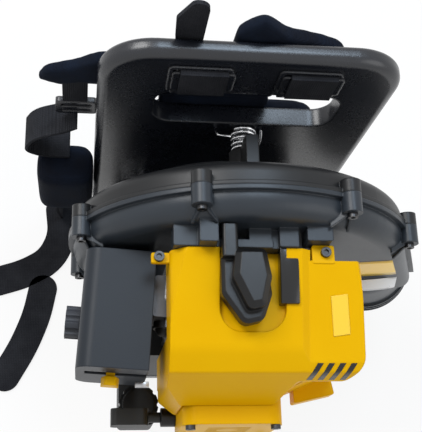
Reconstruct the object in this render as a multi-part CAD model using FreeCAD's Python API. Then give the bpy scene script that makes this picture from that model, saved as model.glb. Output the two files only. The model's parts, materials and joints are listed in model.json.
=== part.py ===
import FreeCAD, Part
import math
import os

# Backpack leaf blower.  Millimetres.  +Z is up, +X is the wearer's right, +Y points from the
# engine towards the wearer.  The pieces are drawn with the crankshaft above x = 0 and the joint of
# the fan housing at y = 0.  At the end all of them move together, so that the origin is the
# middle of the whole machine's footprint on the ground.

X = FreeCAD.Vector(1, 0, 0)
Y = FreeCAD.Vector(0, 1, 0)
Z = FreeCAD.Vector(0, 0, 1)

# ---------------------------------------------------------------- driving dimensions
CRANK_Z = 225.0              # crankshaft height above the ground
JOINT_GAP = 0.3              # air left between pieces that only touch
RUNNING_GAP = 0.05           # radial play of a running fit
SCREW_RADIUS = 2.5
SCREW_HEAD_RADIUS = 4.5
SCREW_HEAD_HEIGHT = 4.0

# fan housing
HOUSING_WALL = 3.0
SCROLL_BASE_RADIUS = 128.0   # outer radius of the scroll straight below the crankshaft
SCROLL_GROWTH = 0.21         # radius gained per degree, clockwise as seen from the engine
SCROLL_FIRST_ANGLE = -40.0   # degrees clockwise from straight down
SCROLL_LAST_ANGLE = 255.0
SCROLL_STEPS = 10
HOUSING_FRONT_DEPTH = 26.0
HOUSING_REAR_DEPTH = 26.0
INTAKE_CONE_DEPTH = 30.0
SCROLL_FRONT_ROUND = 18.0
SCROLL_REAR_ROUND = 12.0
INTAKE_CONE_WIDE = 106.0
INTAKE_CONE_NARROW = 88.0
INTAKE_RADIUS = 66.0
OUTLET_RADIUS = 50.0
OUTLET_REACH = 52.0          # middle of the outlet's open end, beyond the base circle
OUTLET_RISE = 23.0           # open end above the lowest point of the base circle
OUTLET_Y = 13.0
OUTLET_TILT = 16.0           # degrees that the outlet leans away from the machine
OUTLET_LENGTH = 66.0
OUTLET_DUCT_BACK = 30.0      # how far the square duct stops short of the open end
OUTLET_RIB = 2.5
OUTLET_RIB_PITCH = 8.0
OUTLET_RIBS = 3
SCREW_HEAD_ROOM = 6.0        # clear in front of each boss, for the screw head
RIM_OVERHANG = 5.0
RIM_HALF = 4.0
BOSS_RADIUS = 9.0
BOSS_FRONT = 18.0
BOSS_BACK = 12.0
BOSS_ANGLES = (-22.0, 25.0, 72.0, 118.0, 166.0, 211.0, 247.0)
BOSS_STANDOFF = 5.5
GUSSET_LENGTH = 20.0
GUSSET_THICK = 2.5
GUSSET_LEAN = 32.0           # degrees that each gusset of a boss is splayed
SHAFT_HOLE_RADIUS = 20.0

# impeller
IMPELLER_RADIUS = 112.0
IMPELLER_DISC = 3.0
IMPELLER_HUB_RADIUS = 17.0
BLADE_COUNT = 15
BLADE_THICK = 2.2
BLADE_ROOT_RADIUS = 30.0
BLADE_SWEEP = 48.0           # degrees that a blade trails from root to tip
BLADE_GAP = 4.0
IMPELLER_GAP = 6.0           # from the housing's front wall to the impeller disc

# crankshaft group
CYLINDER_Y = -78.0           # cylinder axis
STROKE = 34.0
BORE_RADIUS = 22.0
ROD_LENGTH = 68.0
CRANKCASE_RADIUS = 42.0
CRANK_CHAMBER_RADIUS = 34.0
CRANK_CHAMBER_HALF = 17.0
WEB_RADIUS = 32.0
WEB_THICK = 9.0
WEB_INNER_GAP = 7.5          # from the cylinder axis to the inside of each web
SHAFT_RADIUS = 8.5
BEARING_RADIUS = 18.0
BEARING_WIDTH = 11.0
SEAL_WIDTH = 5.0
CRANKCASE_PLATE = 7.0
CRANKCASE_PLATE_HALF = 58.0
CRANK_PIN_RADIUS = 7.0
PISTON_PIN_RADIUS = 5.0
PISTON_CROWN = 13.0          # crown above the gudgeon pin
PISTON_SKIRT = 15.0
PISTON_GAP = 0.05
RING_HEIGHT = 1.5

# cylinder
FIN_HALF = 40.0
FIN_COUNT = 8
FIN_PITCH = 7.0
FIN_THICK = 2.4
CYLINDER_CORE_RADIUS = 28.0
CYLINDER_FOOT = 6.0
HEAD_CLEARANCE = 1.5
HEAD_THICK = 12.0
INTAKE_RISE = 18.0           # intake port above the foot of the cylinder
EXHAUST_RISE = 26.0
PORT_RADIUS = 9.0

# starter and flywheel
FLYWHEEL_RADIUS = 48.0
FLYWHEEL_THICK = 15.0
FLYWHEEL_GAP = 6.0
STARTER_REAR_HALF = 56.0
STARTER_FRONT_HALF = 46.0
STARTER_REAR_LENGTH = 27.0
STARTER_LENGTH = 68.0
STARTER_WALL = 3.0
PULLEY_RADIUS = 35.0
PULLEY_GROOVE_RADIUS = 28.0
PULLEY_WIDTH = 11.0
PULLEY_POST_RADIUS = 7.0
ROPE_RADIUS = 2.0
GRIP_LENGTH = 36.0
GRIP_HALF_WIDTH = 8.0
GRIP_HALF_HEIGHT = 11.0
GUIDE_LENGTH = 14.0
GUIDE_RADIUS = 9.0
NECK_LENGTH = 12.0

# intake side: built straight, then turned about the cylinder axis
INTAKE_TURN = -4.0
INTAKE_FLANGE = 37.0
INSULATOR_LENGTH = 10.0
CARB_LENGTH = 28.0
CARB_HALF = 19.0
FILTER_BASE_THICK = 8.0
FILTER_WIDTH = 63.0
FILTER_BACK = 38.0           # towards the fan housing, from the cylinder axis
FILTER_FRONT = 69.0
FILTER_BOTTOM = 8.0          # above the crankshaft
FILTER_HEIGHT = 80.0
FILTER_WALL = 2.5
FILTER_CORNER = 14.0
KNOB_RADIUS = 15.0
KNOB_LENGTH = 13.0
KNOB_FORWARD = 21.0
KNOB_RISE = 40.0
CHOKE_PIN_FORWARD = 40.0
PRIMER_RADIUS = 9.0

# exhaust side
EXHAUST_FLANGE = 42.0
GASKET_THICK = 2.0
MUFFLER_WIDTH = 48.0
MUFFLER_BACK = -48.0
MUFFLER_FRONT = -112.5
MUFFLER_BOTTOM = 20.0
MUFFLER_TOP = 96.0

# engine cover
COVER_LEFT = -64.0
COVER_RIGHT = 107.0
COVER_BACK = -44.0
COVER_FOLD = -128.0
COVER_CREASE = -146.0
COVER_NOSE = -166.0
COVER_FRONT = -151.0         # front wall right of the nose
COVER_TOP_BACK = 133.0       # above the crankshaft
COVER_TOP_FOLD = 114.0
COVER_TOP_CREASE = 103.0
COVER_TOP_NOSE = 46.0
COVER_BOTTOM = -20.0
COVER_WALL = 2.5
COVER_ROUND = 22.0
COVER_BEVEL = 13.0           # width of the bevel along the left top edge
STEP_X = 50.0                # the top right of this lies lower
STEP_WIDTH = 7.0
STEP_DROP = 4.0
BACK_STEP_X = 58.0           # right of this the back edge lies further forward
BACK_STEP = 9.0
NOTCH_LEFT = -22.0
NOTCH_RIGHT = 36.0
NOTCH_FRONT = -114.0
NOTCH_CORNER = 20.0
NOTCH_FLOOR_GAP = 2.0        # floor of the notch above the cylinder's top fin
EAR_LENGTH = 14.0
EAR_WIDTH = 20.0
EAR_THICK = 5.0
EAR_RISE = 122.0
RIGHT_EAR_X = 70.0
LEFT_EAR_X = -73.0
LOUVRE_COUNT = 4
LOUVRE_WIDTH = 5.0
LOUVRE_PITCH = 10.5
LOUVRE_X = 61.0
LOUVRE_BOTTOM = 52.0
LOUVRE_HEIGHT = 34.0
LOUVRE_DEPTH = 26.0          # how far the louvre wall runs back at its right end

# blocks on the fan housing behind the engine cover
SADDLE_TOP = 135.0           # above the crankshaft
SADDLE_LOW = 117.0
SADDLE_GAP = 0.4
SADDLE_BACK = -8.0

# spark plug and its cap
PLUG_HEX_RADIUS = 10.0
PLUG_BODY_RADIUS = 6.0
PLUG_TIP_RADIUS = 3.5
PLUG_BODY_RISE = 20.0        # porcelain above the cylinder
PLUG_TIP_RISE = 27.0
CAP_BOTTOM = 124.0           # above the crankshaft
CAP_STEP = 138.0
CAP_TOP = 152.0
CAP_TAIL_LOW = 136.0
CAP_TAIL_TOP = 147.0
CAP_TAIL_X = -15.0
CAP_TAIL_HALF = 7.0
CAP_TAIL_BACK = -27.0
LEAD_RADIUS = 3.5

# fuel tank
TANK_LEFT = -118.0
TANK_RIGHT = 112.0
TANK_FRONT = -96.0
TANK_BACK = -34.0
TANK_BOTTOM = 34.0
TANK_TOP = 150.0
TANK_WALL = 3.0
TANK_ROUND = 14.0
ARM_LEFT = -99.0             # filler arm that reaches forward from the tank
ARM_RIGHT = -83.0
ARM_FRONT = -167.0
ARM_BOTTOM = 104.0
ARM_HEAD_RIGHT = -62.0
ARM_HEAD_BACK = -137.0
NECK_X = -80.0
NECK_Y = -150.0
NECK_RADIUS = 14.0
NECK_TOP = 168.0
FUEL_CAP_RADIUS = 20.0
FUEL_CAP_HEIGHT = 21.0

# back frame
PLATE_X = 9.0
PLATE_HALF_WIDTH = 138.0
PLATE_FRONT = 104.0
PLATE_THICK = 19.0
PLATE_TOP = 195.0            # above the crankshaft
PLATE_CORNER = 50.0
PLATE_FRONT_ROUND = 9.5
PLATE_BACK_ROUND = 6.0
HANDLE_X = 12.0
HANDLE_HALF = 88.0
HANDLE_LOW = 70.0            # above the crankshaft
HANDLE_HIGH = 132.0
HANDLE_CORNER = 20.0
WINDOW_GAP = 8.0             # web between the handle slot and the windows
WINDOW_SPACING = 98.0
WINDOW_HALF_WIDTH = 25.0
WINDOW_HALF_HEIGHT = 18.0
FOOT_HALF_WIDTH = 112.0
FOOT_FRONT = -95.0
FOOT_THICK = 16.0
FOOT_BUTTON_RADIUS = 14.0
FOOT_BUTTON_HEIGHT = 8.0
FOOT_CORNER = 30.0

# isolator springs between frame and fan housing
SPRING_RADIUS = 12.0
SPRING_WIRE = 1.6
SPRING_TURNS = 4.0
SPRING_RUNS = 14             # straight runs in each turn of the coil
SPRING_GAP = 0.3
TOP_SPRING_X = 17.0
TOP_SPRING_RISE = 56.0
LOW_SPRING_SPREAD = 84.0
LOW_SPRING_DROP = 92.0
SEAT_RADIUS = 15.0
SEAT_PIN_RADIUS = 9.5
SEAT_PIN_LENGTH = 8.0
BRACE_HALF = 6.0             # rib that carries the top seat
BRACE_HEIGHT = 44.0
TOP_SEAT_Y = 79.0
LOW_SEAT_Y = 79.0

# harness
WEBBING = 3.0
WEBBING_WIDTH = 42.0
PAD_THICK = 14.0
CUSHION_THICK = 16.0

# values that follow from the ones above
OUTLET_X = SCROLL_BASE_RADIUS + OUTLET_REACH
OUTLET_DROP = SCROLL_BASE_RADIUS - OUTLET_RISE
HOUSING_FRONT_Y = -HOUSING_FRONT_DEPTH
CONE_Y = HOUSING_REAR_DEPTH + INTAKE_CONE_DEPTH
FILTER_INNER = INTAKE_FLANGE + INSULATOR_LENGTH + CARB_LENGTH
FILTER_OUTER = FILTER_INNER + FILTER_WIDTH
CYLINDER_FOOT_Z = CRANK_Z + CRANKCASE_RADIUS
INTAKE_Z = CYLINDER_FOOT_Z + INTAKE_RISE
EXHAUST_Z = CYLINDER_FOOT_Z + EXHAUST_RISE
PISTON_PIN_Z = CRANK_Z + STROKE / 2 + ROD_LENGTH
CROWN_Z = PISTON_PIN_Z + PISTON_CROWN
HEAD_Z = CROWN_Z + HEAD_CLEARANCE
CYLINDER_TOP_Z = HEAD_Z + HEAD_THICK
CRANKCASE_FRONT_Y = CYLINDER_Y - CRANK_CHAMBER_HALF - BEARING_WIDTH - SEAL_WIDTH - HOUSING_WALL
FLYWHEEL_BACK_Y = CRANKCASE_FRONT_Y - FLYWHEEL_GAP
FLYWHEEL_FRONT_Y = FLYWHEEL_BACK_Y - FLYWHEEL_THICK
STARTER_BACK_Y = CRANKCASE_FRONT_Y
STARTER_FRONT_Y = STARTER_BACK_Y - STARTER_LENGTH
PLATE_BACK = PLATE_FRONT + PLATE_THICK
MUFFLER_LEFT = EXHAUST_FLANGE + GASKET_THICK
IMPELLER_BACK_Y = HOUSING_FRONT_Y + HOUSING_WALL + IMPELLER_GAP


DECK_HALF = 36.0
SPIGOT_WALL = 3.0
SPIGOT_LENGTH = 5.0
ROD_HALF = 4.0
RING_DEPTH = 2.0
FLANGE_HALF = 17.0
COIL_TOP = 82.0
COIL_THICK = 11.0
COIL_MIDDLE_Y = CYLINDER_Y - FIN_HALF - COIL_THICK / 2
IMPELLER_NUT_Y = HOUSING_REAR_DEPTH - HOUSING_WALL - BLADE_GAP - IMPELLER_DISC
PAWL_THICK = 4.0
PULLEY_GAP = 25.5
PULLEY_BACK_Y = FLYWHEEL_FRONT_Y - PULLEY_GAP
PULLEY_FRONT_Y = PULLEY_BACK_Y - PULLEY_WIDTH
STARTER_CORNER = 14.0
ROPE_Y = PULLEY_FRONT_Y + PULLEY_WIDTH / 2
ROPE_Z = CRANK_Z - PULLEY_GROOVE_RADIUS - 1
ROPE_RUN_START = 21.0
GUIDE_HOLE_RADIUS = 7.0
SLOT_HALF = 20.0
SLOT_PITCH = 9.0
THROTTLE_PIN = 2.5
THROTTLE_ARM = 16.0
PRIMER_Z = INTAKE_Z - 5.0
CHOKE_X = 107.0
CHOKE_Y = CYLINDER_Y - CHOKE_PIN_FORWARD
CHOKE_HUB_HALF = 7.0
CHOKE_PIN_RADIUS = 2.5
CHOKE_TAB_OUT = 10.0
CHOKE_TAB_GAP = 3.0
CHOKE_TRAVEL = 12.0
CHOKE_FLAP_LIFT = 10.0
CHOKE_SLOT_HALF = 23.0
CHOKE_SLOT_RISE = 6.0
KNOB_STUD_RADIUS = 3.0
KNOB_FLUTES = 8
ELEMENT_THICK = 18.0
LOUVRE_SLANT = 20.0
SIDE_ROOM_RISE = 6.0
EAR_LOW_Z = CRANK_Z + 112.0
PILLAR_SCREW = 8.0
NOTCH_FLOOR = CYLINDER_TOP_Z + NOTCH_FLOOR_GAP
LUG_LEFT = 67.0
LUG_RIGHT = 108.0
LUG_FRONT = -157.0
LUG_SLANT = 9.0
LUG_HEIGHT = 16.0
FUEL_CAP_SKIRT = 12.0
FUEL_CAP_NOTCHES = 10
FUEL_LINE_RADIUS = 3.0
FUEL_LINE_X = -52.0
FUEL_LINE_Y = -84.0
TANK_MOUNT_X = 36.0
TANK_MOUNT_Z = CRANK_Z - SCROLL_BASE_RADIUS + 39.0
WINDOW_Z = CRANK_Z + HANDLE_HIGH + WINDOW_GAP + WINDOW_HALF_HEIGHT
BAR_THICK = 4.0
BAR_OVERLAP = 3.0
BAR_HALF_HEIGHT = WINDOW_HALF_HEIGHT - WEBBING - 2 * JOINT_GAP
HANG_Y = 124.0
HANG_WIDTH = 34.0
WAIST_PAD_TOP = CRANK_Z - 34.0
WAIST_PAD_HEIGHT = 82.0


# ---------------------------------------------------------------- small helpers
def point(x, y, z):
    return FreeCAD.Vector(x, y, z)


def block(x0, x1, y0, y1, z0, z1):
    return Part.makeBox(x1 - x0, y1 - y0, z1 - z0, point(x0, y0, z0))


def rod(radius, start, axis, length):
    return Part.makeCylinder(radius, length, start, axis)


def ring(outer, inner, start, axis, length):
    return rod(outer, start, axis, length).cut(rod(inner, start, axis, length))


def joined(shapes):
    return shapes[0].multiFuse(shapes[1:]).removeSplitter()


def rounded(shape, axis, radius):
    """Round the straight edges of a shape that run along the given axis."""
    edges = []
    for edge in shape.Edges:
        if isinstance(edge.Curve, Part.Line) and abs(edge.Curve.Direction.dot(axis)) > 0.999:
            edges.append(edge)
    return shape.makeFillet(radius, edges)


def corner_wire(corners, lift):
    """A closed outline with round corners.  Each corner is (a, b, radius)."""
    count = len(corners)
    tangents = []
    for index in range(count):
        before = FreeCAD.Vector(*corners[index - 1][:2], 0)
        here = FreeCAD.Vector(*corners[index][:2], 0)
        after = FreeCAD.Vector(*corners[(index + 1) % count][:2], 0)
        radius = corners[index][2]
        to_before = (before - here).normalize()
        to_after = (after - here).normalize()
        half = to_before.getAngle(to_after) / 2
        reach = radius / math.tan(half)
        middle = (to_before + to_after).normalize() * (radius / math.sin(half) - radius)
        tangents.append((here + to_before * reach, here + middle, here + to_after * reach))
    edges = []
    for index in range(count):
        first, middle, last = [lift(p.x, p.y) for p in tangents[index]]
        following = lift(tangents[(index + 1) % count][0].x, tangents[(index + 1) % count][0].y)
        if corners[index][2] > 0:
            edges.append(Part.Arc(first, middle, last).toShape())
        edges.append(Part.LineSegment(last, following).toShape())
    return Part.Wire(edges)


def prism_y(corners, y0, y1):
    """Extrude an outline drawn in X and Z from y0 to y1."""
    face = Part.Face(corner_wire(corners, lambda a, b: point(a, y0, b)))
    return face.extrude(Y * (y1 - y0))


def prism_z(corners, z0, z1):
    """Extrude an outline drawn in X and Y from z0 to z1."""
    face = Part.Face(corner_wire(corners, lambda a, b: point(a, b, z0)))
    return face.extrude(Z * (z1 - z0))


def prism_x(corners, x0, x1):
    """Extrude an outline drawn in Y and Z from x0 to x1."""
    face = Part.Face(corner_wire(corners, lambda a, b: point(x0, a, b)))
    return face.extrude(X * (x1 - x0))


def path_wire(route):
    """Straight runs joined by tangent arcs, each as large as its two runs allow."""
    edges = []
    last = route[0]
    for before, here, after in zip(route, route[1:], route[2:]):
        to_before = before - here
        to_after = after - here
        shorter = min(to_before.Length, to_after.Length)
        to_before.normalize()
        to_after.normalize()
        reach = 0.45 * shorter
        half = to_before.getAngle(to_after) / 2
        radius = reach * math.tan(half)
        middle = here + (to_before + to_after).normalize() * (radius / math.sin(half) - radius)
        first = here + to_before * reach
        end = here + to_after * reach
        edges.append(Part.LineSegment(last, first).toShape())
        edges.append(Part.Arc(first, middle, end).toShape())
        last = end
    edges.append(Part.LineSegment(last, route[-1]).toShape())
    return Part.Wire(edges)


def cord(name, route, radius):
    """A round cord along a route; prints its length, its bends and how true its volume is."""
    path = path_wire(route)
    section = Part.Wire(Part.makeCircle(radius, route[0], route[1] - route[0]))
    shape = path.makePipeShell([section], True, False)
    ideal = math.pi * radius * radius * path.Length
    bends = [round(edge.Curve.Radius, 1) for edge in path.Edges if hasattr(edge.Curve, "Radius")]
    print(name, "length", round(path.Length, 1), "volume ratio", round(shape.Volume / ideal, 4),
          "radii", bends)
    return shape


def band(route, thickness, width_axis, width):
    """A flat strap: its route lies in the plane square to width_axis, centred on its width."""
    outline = path_wire(route).makeOffset2D(thickness / 2, 0, False, False)
    strap = Part.Face(outline).extrude(width_axis * width)
    strap.translate(width_axis * (-width / 2))
    return strap


def screw(head, axis, length):
    """A pan-head screw.  head is the point under its head, axis points into the work."""
    shank = rod(SCREW_RADIUS, head, axis, length)
    cap = rod(SCREW_HEAD_RADIUS, head - axis * SCREW_HEAD_HEIGHT, axis, SCREW_HEAD_HEIGHT)
    socket = rod(SCREW_RADIUS * 0.9, head - axis * SCREW_HEAD_HEIGHT, axis, SCREW_HEAD_HEIGHT / 2)
    return joined([shank, cap]).cut(socket)


# ---------------------------------------------------------------- fan housing
def scroll_point(angle, offset, y):
    """A point on the scroll, angle in degrees clockwise from straight down."""
    radius = SCROLL_BASE_RADIUS + SCROLL_GROWTH * angle + offset
    turn = math.radians(angle)
    return point(-radius * math.sin(turn), y, CRANK_Z - radius * math.cos(turn))


def outlet_axis():
    tilt = math.radians(OUTLET_TILT)
    return point(math.sin(tilt), 0, -math.cos(tilt))


def outlet_side():
    tilt = math.radians(OUTLET_TILT)
    return point(math.cos(tilt), 0, math.sin(tilt))


def outlet_end():
    return point(OUTLET_X, OUTLET_Y, CRANK_Z - OUTLET_DROP)


def meeting_point(first, first_way, second, second_way):
    """Where two lines in one plane of constant y cross."""
    between = second - first
    across = first_way.x * second_way.z - first_way.z * second_way.x
    return first + first_way * ((between.x * second_way.z - between.z * second_way.x) / across)


def scroll_arcs(y, offset):
    """The curved part of the scroll as arcs, grown or shrunk by offset."""
    arcs = []
    step = (SCROLL_LAST_ANGLE - SCROLL_FIRST_ANGLE) / SCROLL_STEPS
    for index in range(SCROLL_STEPS):
        angle = SCROLL_FIRST_ANGLE + index * step
        points = [scroll_point(angle + share * step, offset, y) for share in (0, 0.5, 1)]
        arcs.append(Part.Arc(*points).toShape())
    return arcs


def scroll_face(y, offset):
    """The scroll with its square duct as a flat face, grown or shrunk by offset."""
    plain = scroll_arcs(y, 0)[0]
    arcs = scroll_arcs(y, offset)
    start = arcs[0].firstVertex().Point
    last = arcs[-1].lastVertex().Point
    end = outlet_end() - outlet_axis() * OUTLET_DUCT_BACK
    end.y = y
    outer = end + outlet_side() * OUTLET_RADIUS
    inner = end - outlet_side() * OUTLET_RADIUS
    tongue = plain.firstVertex().Point - plain.tangentAt(plain.FirstParameter) * OUTLET_RADIUS
    slope = (inner - tongue).normalize()
    wall = inner + point(slope.z, 0, -slope.x) * offset
    mouth = end + outlet_axis() * offset
    outer_way = outer - scroll_point(SCROLL_LAST_ANGLE, 0, y)
    corners = [last, meeting_point(last, outer_way, mouth, outlet_side()),
               meeting_point(wall, slope, mouth, outlet_side()),
               meeting_point(wall, slope, start, arcs[0].tangentAt(arcs[0].FirstParameter)), start]
    edges = list(arcs)
    for first, second in zip(corners, corners[1:]):
        edges.append(Part.LineSegment(first, second).toShape())
    return Part.Face(Part.Wire(edges))


def edges_at(shape, y):
    """The edges of a shape that lie in the plane at y."""
    return [e for e in shape.Edges if abs(e.BoundBox.YMin - y) + abs(e.BoundBox.YMax - y) < 0.01]


def scroll_body(inset):
    """Solid volume of scroll, intake cone and outlet, shrunk by inset on every side."""
    front = HOUSING_FRONT_Y + inset
    rear = HOUSING_REAR_DEPTH - inset
    scroll = scroll_face(front, -inset).extrude(Y * (rear - front))
    for y, radius in ((front, SCROLL_FRONT_ROUND - inset), (rear, SCROLL_REAR_ROUND - inset)):
        scroll = scroll.makeFillet(radius, edges_at(scroll, y))
    cone = Part.makeCone(INTAKE_CONE_WIDE - inset, INTAKE_CONE_NARROW - inset,
                         INTAKE_CONE_DEPTH, point(0, rear, CRANK_Z), Y)
    pipe_start = outlet_end() - outlet_axis() * OUTLET_LENGTH
    pipe = rod(OUTLET_RADIUS - inset, pipe_start, outlet_axis(), OUTLET_LENGTH + inset)
    shoulder = Part.makeSphere(OUTLET_RADIUS - inset, pipe_start)
    return joined([scroll, cone, pipe, shoulder])


def boss_point(angle, y):
    return scroll_point(angle, BOSS_STANDOFF, y)


def gussets(angle):
    """Two splayed ribs that run from a screw boss down onto the front of the scroll."""
    ribs = []
    for lean in (-GUSSET_LEAN, GUSSET_LEAN):
        rib = prism_x(((1 - BOSS_FRONT, 0, 0), (HOUSING_FRONT_Y - 2, GUSSET_LENGTH, 0),
                       (HOUSING_FRONT_Y + 2 * HOUSING_WALL, GUSSET_LENGTH, 0), (-RIM_HALF, 0, 0)),
                      -GUSSET_THICK / 2, GUSSET_THICK / 2)
        rib.rotate(point(0, 0, 0), Y, angle + lean)
        rib.translate(boss_point(angle, 0))
        ribs.append(rib)
    return ribs


def housing_trim(front):
    """What stands on the outside of the housing: rim, screw bosses, gussets, outlet ribs."""
    pieces = [scroll_face(-RIM_HALF, RIM_OVERHANG).extrude(Y * (2 * RIM_HALF))]
    for angle in BOSS_ANGLES:
        pieces.append(rod(BOSS_RADIUS, boss_point(angle, -BOSS_FRONT), Y, BOSS_FRONT + BOSS_BACK))
        if front:
            pieces += gussets(angle)
    for index in range(OUTLET_RIBS):
        start = outlet_end() - outlet_axis() * (OUTLET_RIB * 2 + index * OUTLET_RIB_PITCH)
        pieces.append(rod(OUTLET_RADIUS + OUTLET_RIB, start, outlet_axis(), OUTLET_RIB))
    return pieces


def housing_half(front, extras):
    """One half of the housing, parted at y = 0, with extra pieces that stand on its outside."""
    room = half_space(front)
    inside = scroll_body(HOUSING_WALL).common(room)
    half = scroll_body(0).common(room).cut(inside)
    for piece in housing_trim(front) + extras:
        half = half.fuse(piece.common(room).cut(inside))
    for angle in BOSS_ANGLES:
        head = boss_point(angle, -BOSS_FRONT)
        half = half.cut(rod(SCREW_RADIUS + JOINT_GAP, head, Y, BOSS_FRONT + BOSS_BACK))
        half = half.cut(rod(SCREW_HEAD_RADIUS + JOINT_GAP, head, -Y, SCREW_HEAD_ROOM))
    return half


def half_space(front):
    """A large block that holds everything in front of, or behind, the joint plane."""
    reach = 400.0
    if front:
        return block(-reach, reach, -reach, 0, -reach, 2 * reach)
    return block(-reach, reach, 0, reach, -reach, 2 * reach)


def saddle():
    """Stepped blocks on the front wall that close the gap behind the engine cover."""
    start = COVER_BACK + SADDLE_GAP
    low = CRANK_Z + SADDLE_LOW
    top = CRANK_Z + SADDLE_TOP
    ear_back = COVER_BACK - BACK_STEP + EAR_LENGTH + SADDLE_GAP
    post_left = RIGHT_EAR_X - EAR_WIDTH / 2 + 2
    post_right = RIGHT_EAR_X + EAR_WIDTH / 2 - 2
    blocks = [block(-62, -40, start, SADDLE_BACK, low, top),
              block(-41, -25, start, SADDLE_BACK, low, top + 13),
              block(-26, 25, start, start + 7.5, low, top - 3),
              block(4, 24, start, SADDLE_BACK, low, top - 3),
              block(23, 31, start, SADDLE_BACK, low, top - 6),
              block(30, 47, start, SADDLE_BACK, low, top + 1),
              block(54, 77, ear_back, SADDLE_BACK, low, top + 4),
              block(post_left, post_right, COVER_BACK - BACK_STEP + 2, SADDLE_BACK, low - 6,
                    CRANK_Z + EAR_RISE)]
    return [rounded(piece, Z, 1.5) for piece in blocks]


def fan_housing_front():
    shaft_hole = rod(SHAFT_HOLE_RADIUS, point(0, HOUSING_FRONT_Y - 1, CRANK_Z), Y,
                     HOUSING_WALL + 2)
    x, y, z = ear_holes()[0]
    ear_hole = rod(SCREW_RADIUS, point(x, y, z + 1), -Z, PILLAR_SCREW + 2)
    return housing_half(True, saddle()).cut(shaft_hole).cut(ear_hole)


def fan_housing_rear():
    rear = housing_half(False, [])
    rear = rear.cut(rod(INTAKE_RADIUS, point(0, CONE_Y - 2 * HOUSING_WALL, CRANK_Z), Y,
                        3 * HOUSING_WALL))
    room = scroll_body(HOUSING_WALL)
    rotor_room = rod(INTAKE_RADIUS, point(0, 0, CRANK_Z), Y, CONE_Y - HOUSING_WALL)
    for seat in spring_seats():
        rear = rear.fuse(seat.cut(room).cut(rotor_room))
    return rear


def spring_seats():
    """Posts behind the housing, each with the pin that centres its spring."""
    base = HOUSING_REAR_DEPTH - HOUSING_WALL / 2
    seats = []
    for x, z, seat_y in spring_places():
        post = rod(SEAT_RADIUS, point(x, base, z), Y, seat_y - base)
        seats.append(post.fuse(rod(SEAT_PIN_RADIUS, point(x, seat_y, z), Y, SEAT_PIN_LENGTH)))
    x, z, seat_y = spring_places()[0]
    brace = block(x - BRACE_HALF, x + BRACE_HALF, HOUSING_REAR_DEPTH - 1, seat_y, z,
                  z + BRACE_HEIGHT)
    seats[0] = seats[0].fuse(brace)
    return seats


def spring_places():
    """Middle of each isolator spring in X and Z, and the height of its seat."""
    low_z = CRANK_Z - LOW_SPRING_DROP
    return ((TOP_SPRING_X, CRANK_Z + TOP_SPRING_RISE, TOP_SEAT_Y),
            (-LOW_SPRING_SPREAD, low_z, LOW_SEAT_Y),
            (LOW_SPRING_SPREAD, low_z, LOW_SEAT_Y))


# ---------------------------------------------------------------- fan housing trim and rotor
def top_seat_room():
    """Room that the grille leaves around the bracket of the top spring."""
    x, z, seat_y = spring_places()[0]
    room = SEAT_RADIUS + JOINT_GAP
    post = rod(room, point(x, HOUSING_REAR_DEPTH, z), Y, seat_y)
    half = BRACE_HALF + JOINT_GAP
    return post.fuse(block(x - half, x + half, HOUSING_REAR_DEPTH, seat_y, z,
                           z + BRACE_HEIGHT + 16))


def intake_grille():
    """Round guard on the rear wall, bars crossing the fan's eye."""
    start = point(0, CONE_Y, CRANK_Z)
    thick = 3.0
    pieces = [ring(INTAKE_RADIUS + 8, INTAKE_RADIUS - 5, start, Y, thick),
              ring(34, 31, start, Y, thick), rod(14, start, Y, thick)]
    for index in range(10):
        bar = block(-1.5, 1.5, CONE_Y, CONE_Y + thick, CRANK_Z, CRANK_Z + INTAKE_RADIUS)
        bar.rotate(start, Y, 36 * index)
        pieces.append(bar)
    return joined(pieces).cut(top_seat_room())


def impeller():
    disc = rod(IMPELLER_RADIUS, point(0, IMPELLER_BACK_Y, CRANK_Z), Y, IMPELLER_DISC)
    blade_y = IMPELLER_BACK_Y + IMPELLER_DISC
    blade_end = HOUSING_REAR_DEPTH - HOUSING_WALL - BLADE_GAP
    hub = rod(IMPELLER_HUB_RADIUS, point(0, IMPELLER_BACK_Y, CRANK_Z), Y, blade_end - blade_y)
    pieces = [disc, hub]
    for index in range(BLADE_COUNT):
        turn = 360.0 * index / BLADE_COUNT
        curve = [rotor_point(radius, turn + share * BLADE_SWEEP, blade_y)
                 for radius, share in ((BLADE_ROOT_RADIUS, 0.0),
                                       ((BLADE_ROOT_RADIUS + IMPELLER_RADIUS) / 2, 0.35),
                                       (IMPELLER_RADIUS - BLADE_THICK, 1.0))]
        arc = Part.Wire(Part.Arc(*curve).toShape())
        outline = arc.makeOffset2D(BLADE_THICK / 2, 0, False, False)
        pieces.append(Part.Face(outline).extrude(Y * (blade_end - blade_y)))
    return joined(pieces).cut(rod(SHAFT_RADIUS, point(0, -CRANK_Z, CRANK_Z), Y, 2 * CRANK_Z))


def rotor_point(radius, angle, y):
    turn = math.radians(angle)
    return point(radius * math.cos(turn), y, CRANK_Z + radius * math.sin(turn))


def housing_screws():
    screws = []
    for angle in BOSS_ANGLES:
        screws.append(screw(boss_point(angle, -BOSS_FRONT), Y, BOSS_FRONT + BOSS_BACK))
    return Part.makeCompound(screws)


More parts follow.
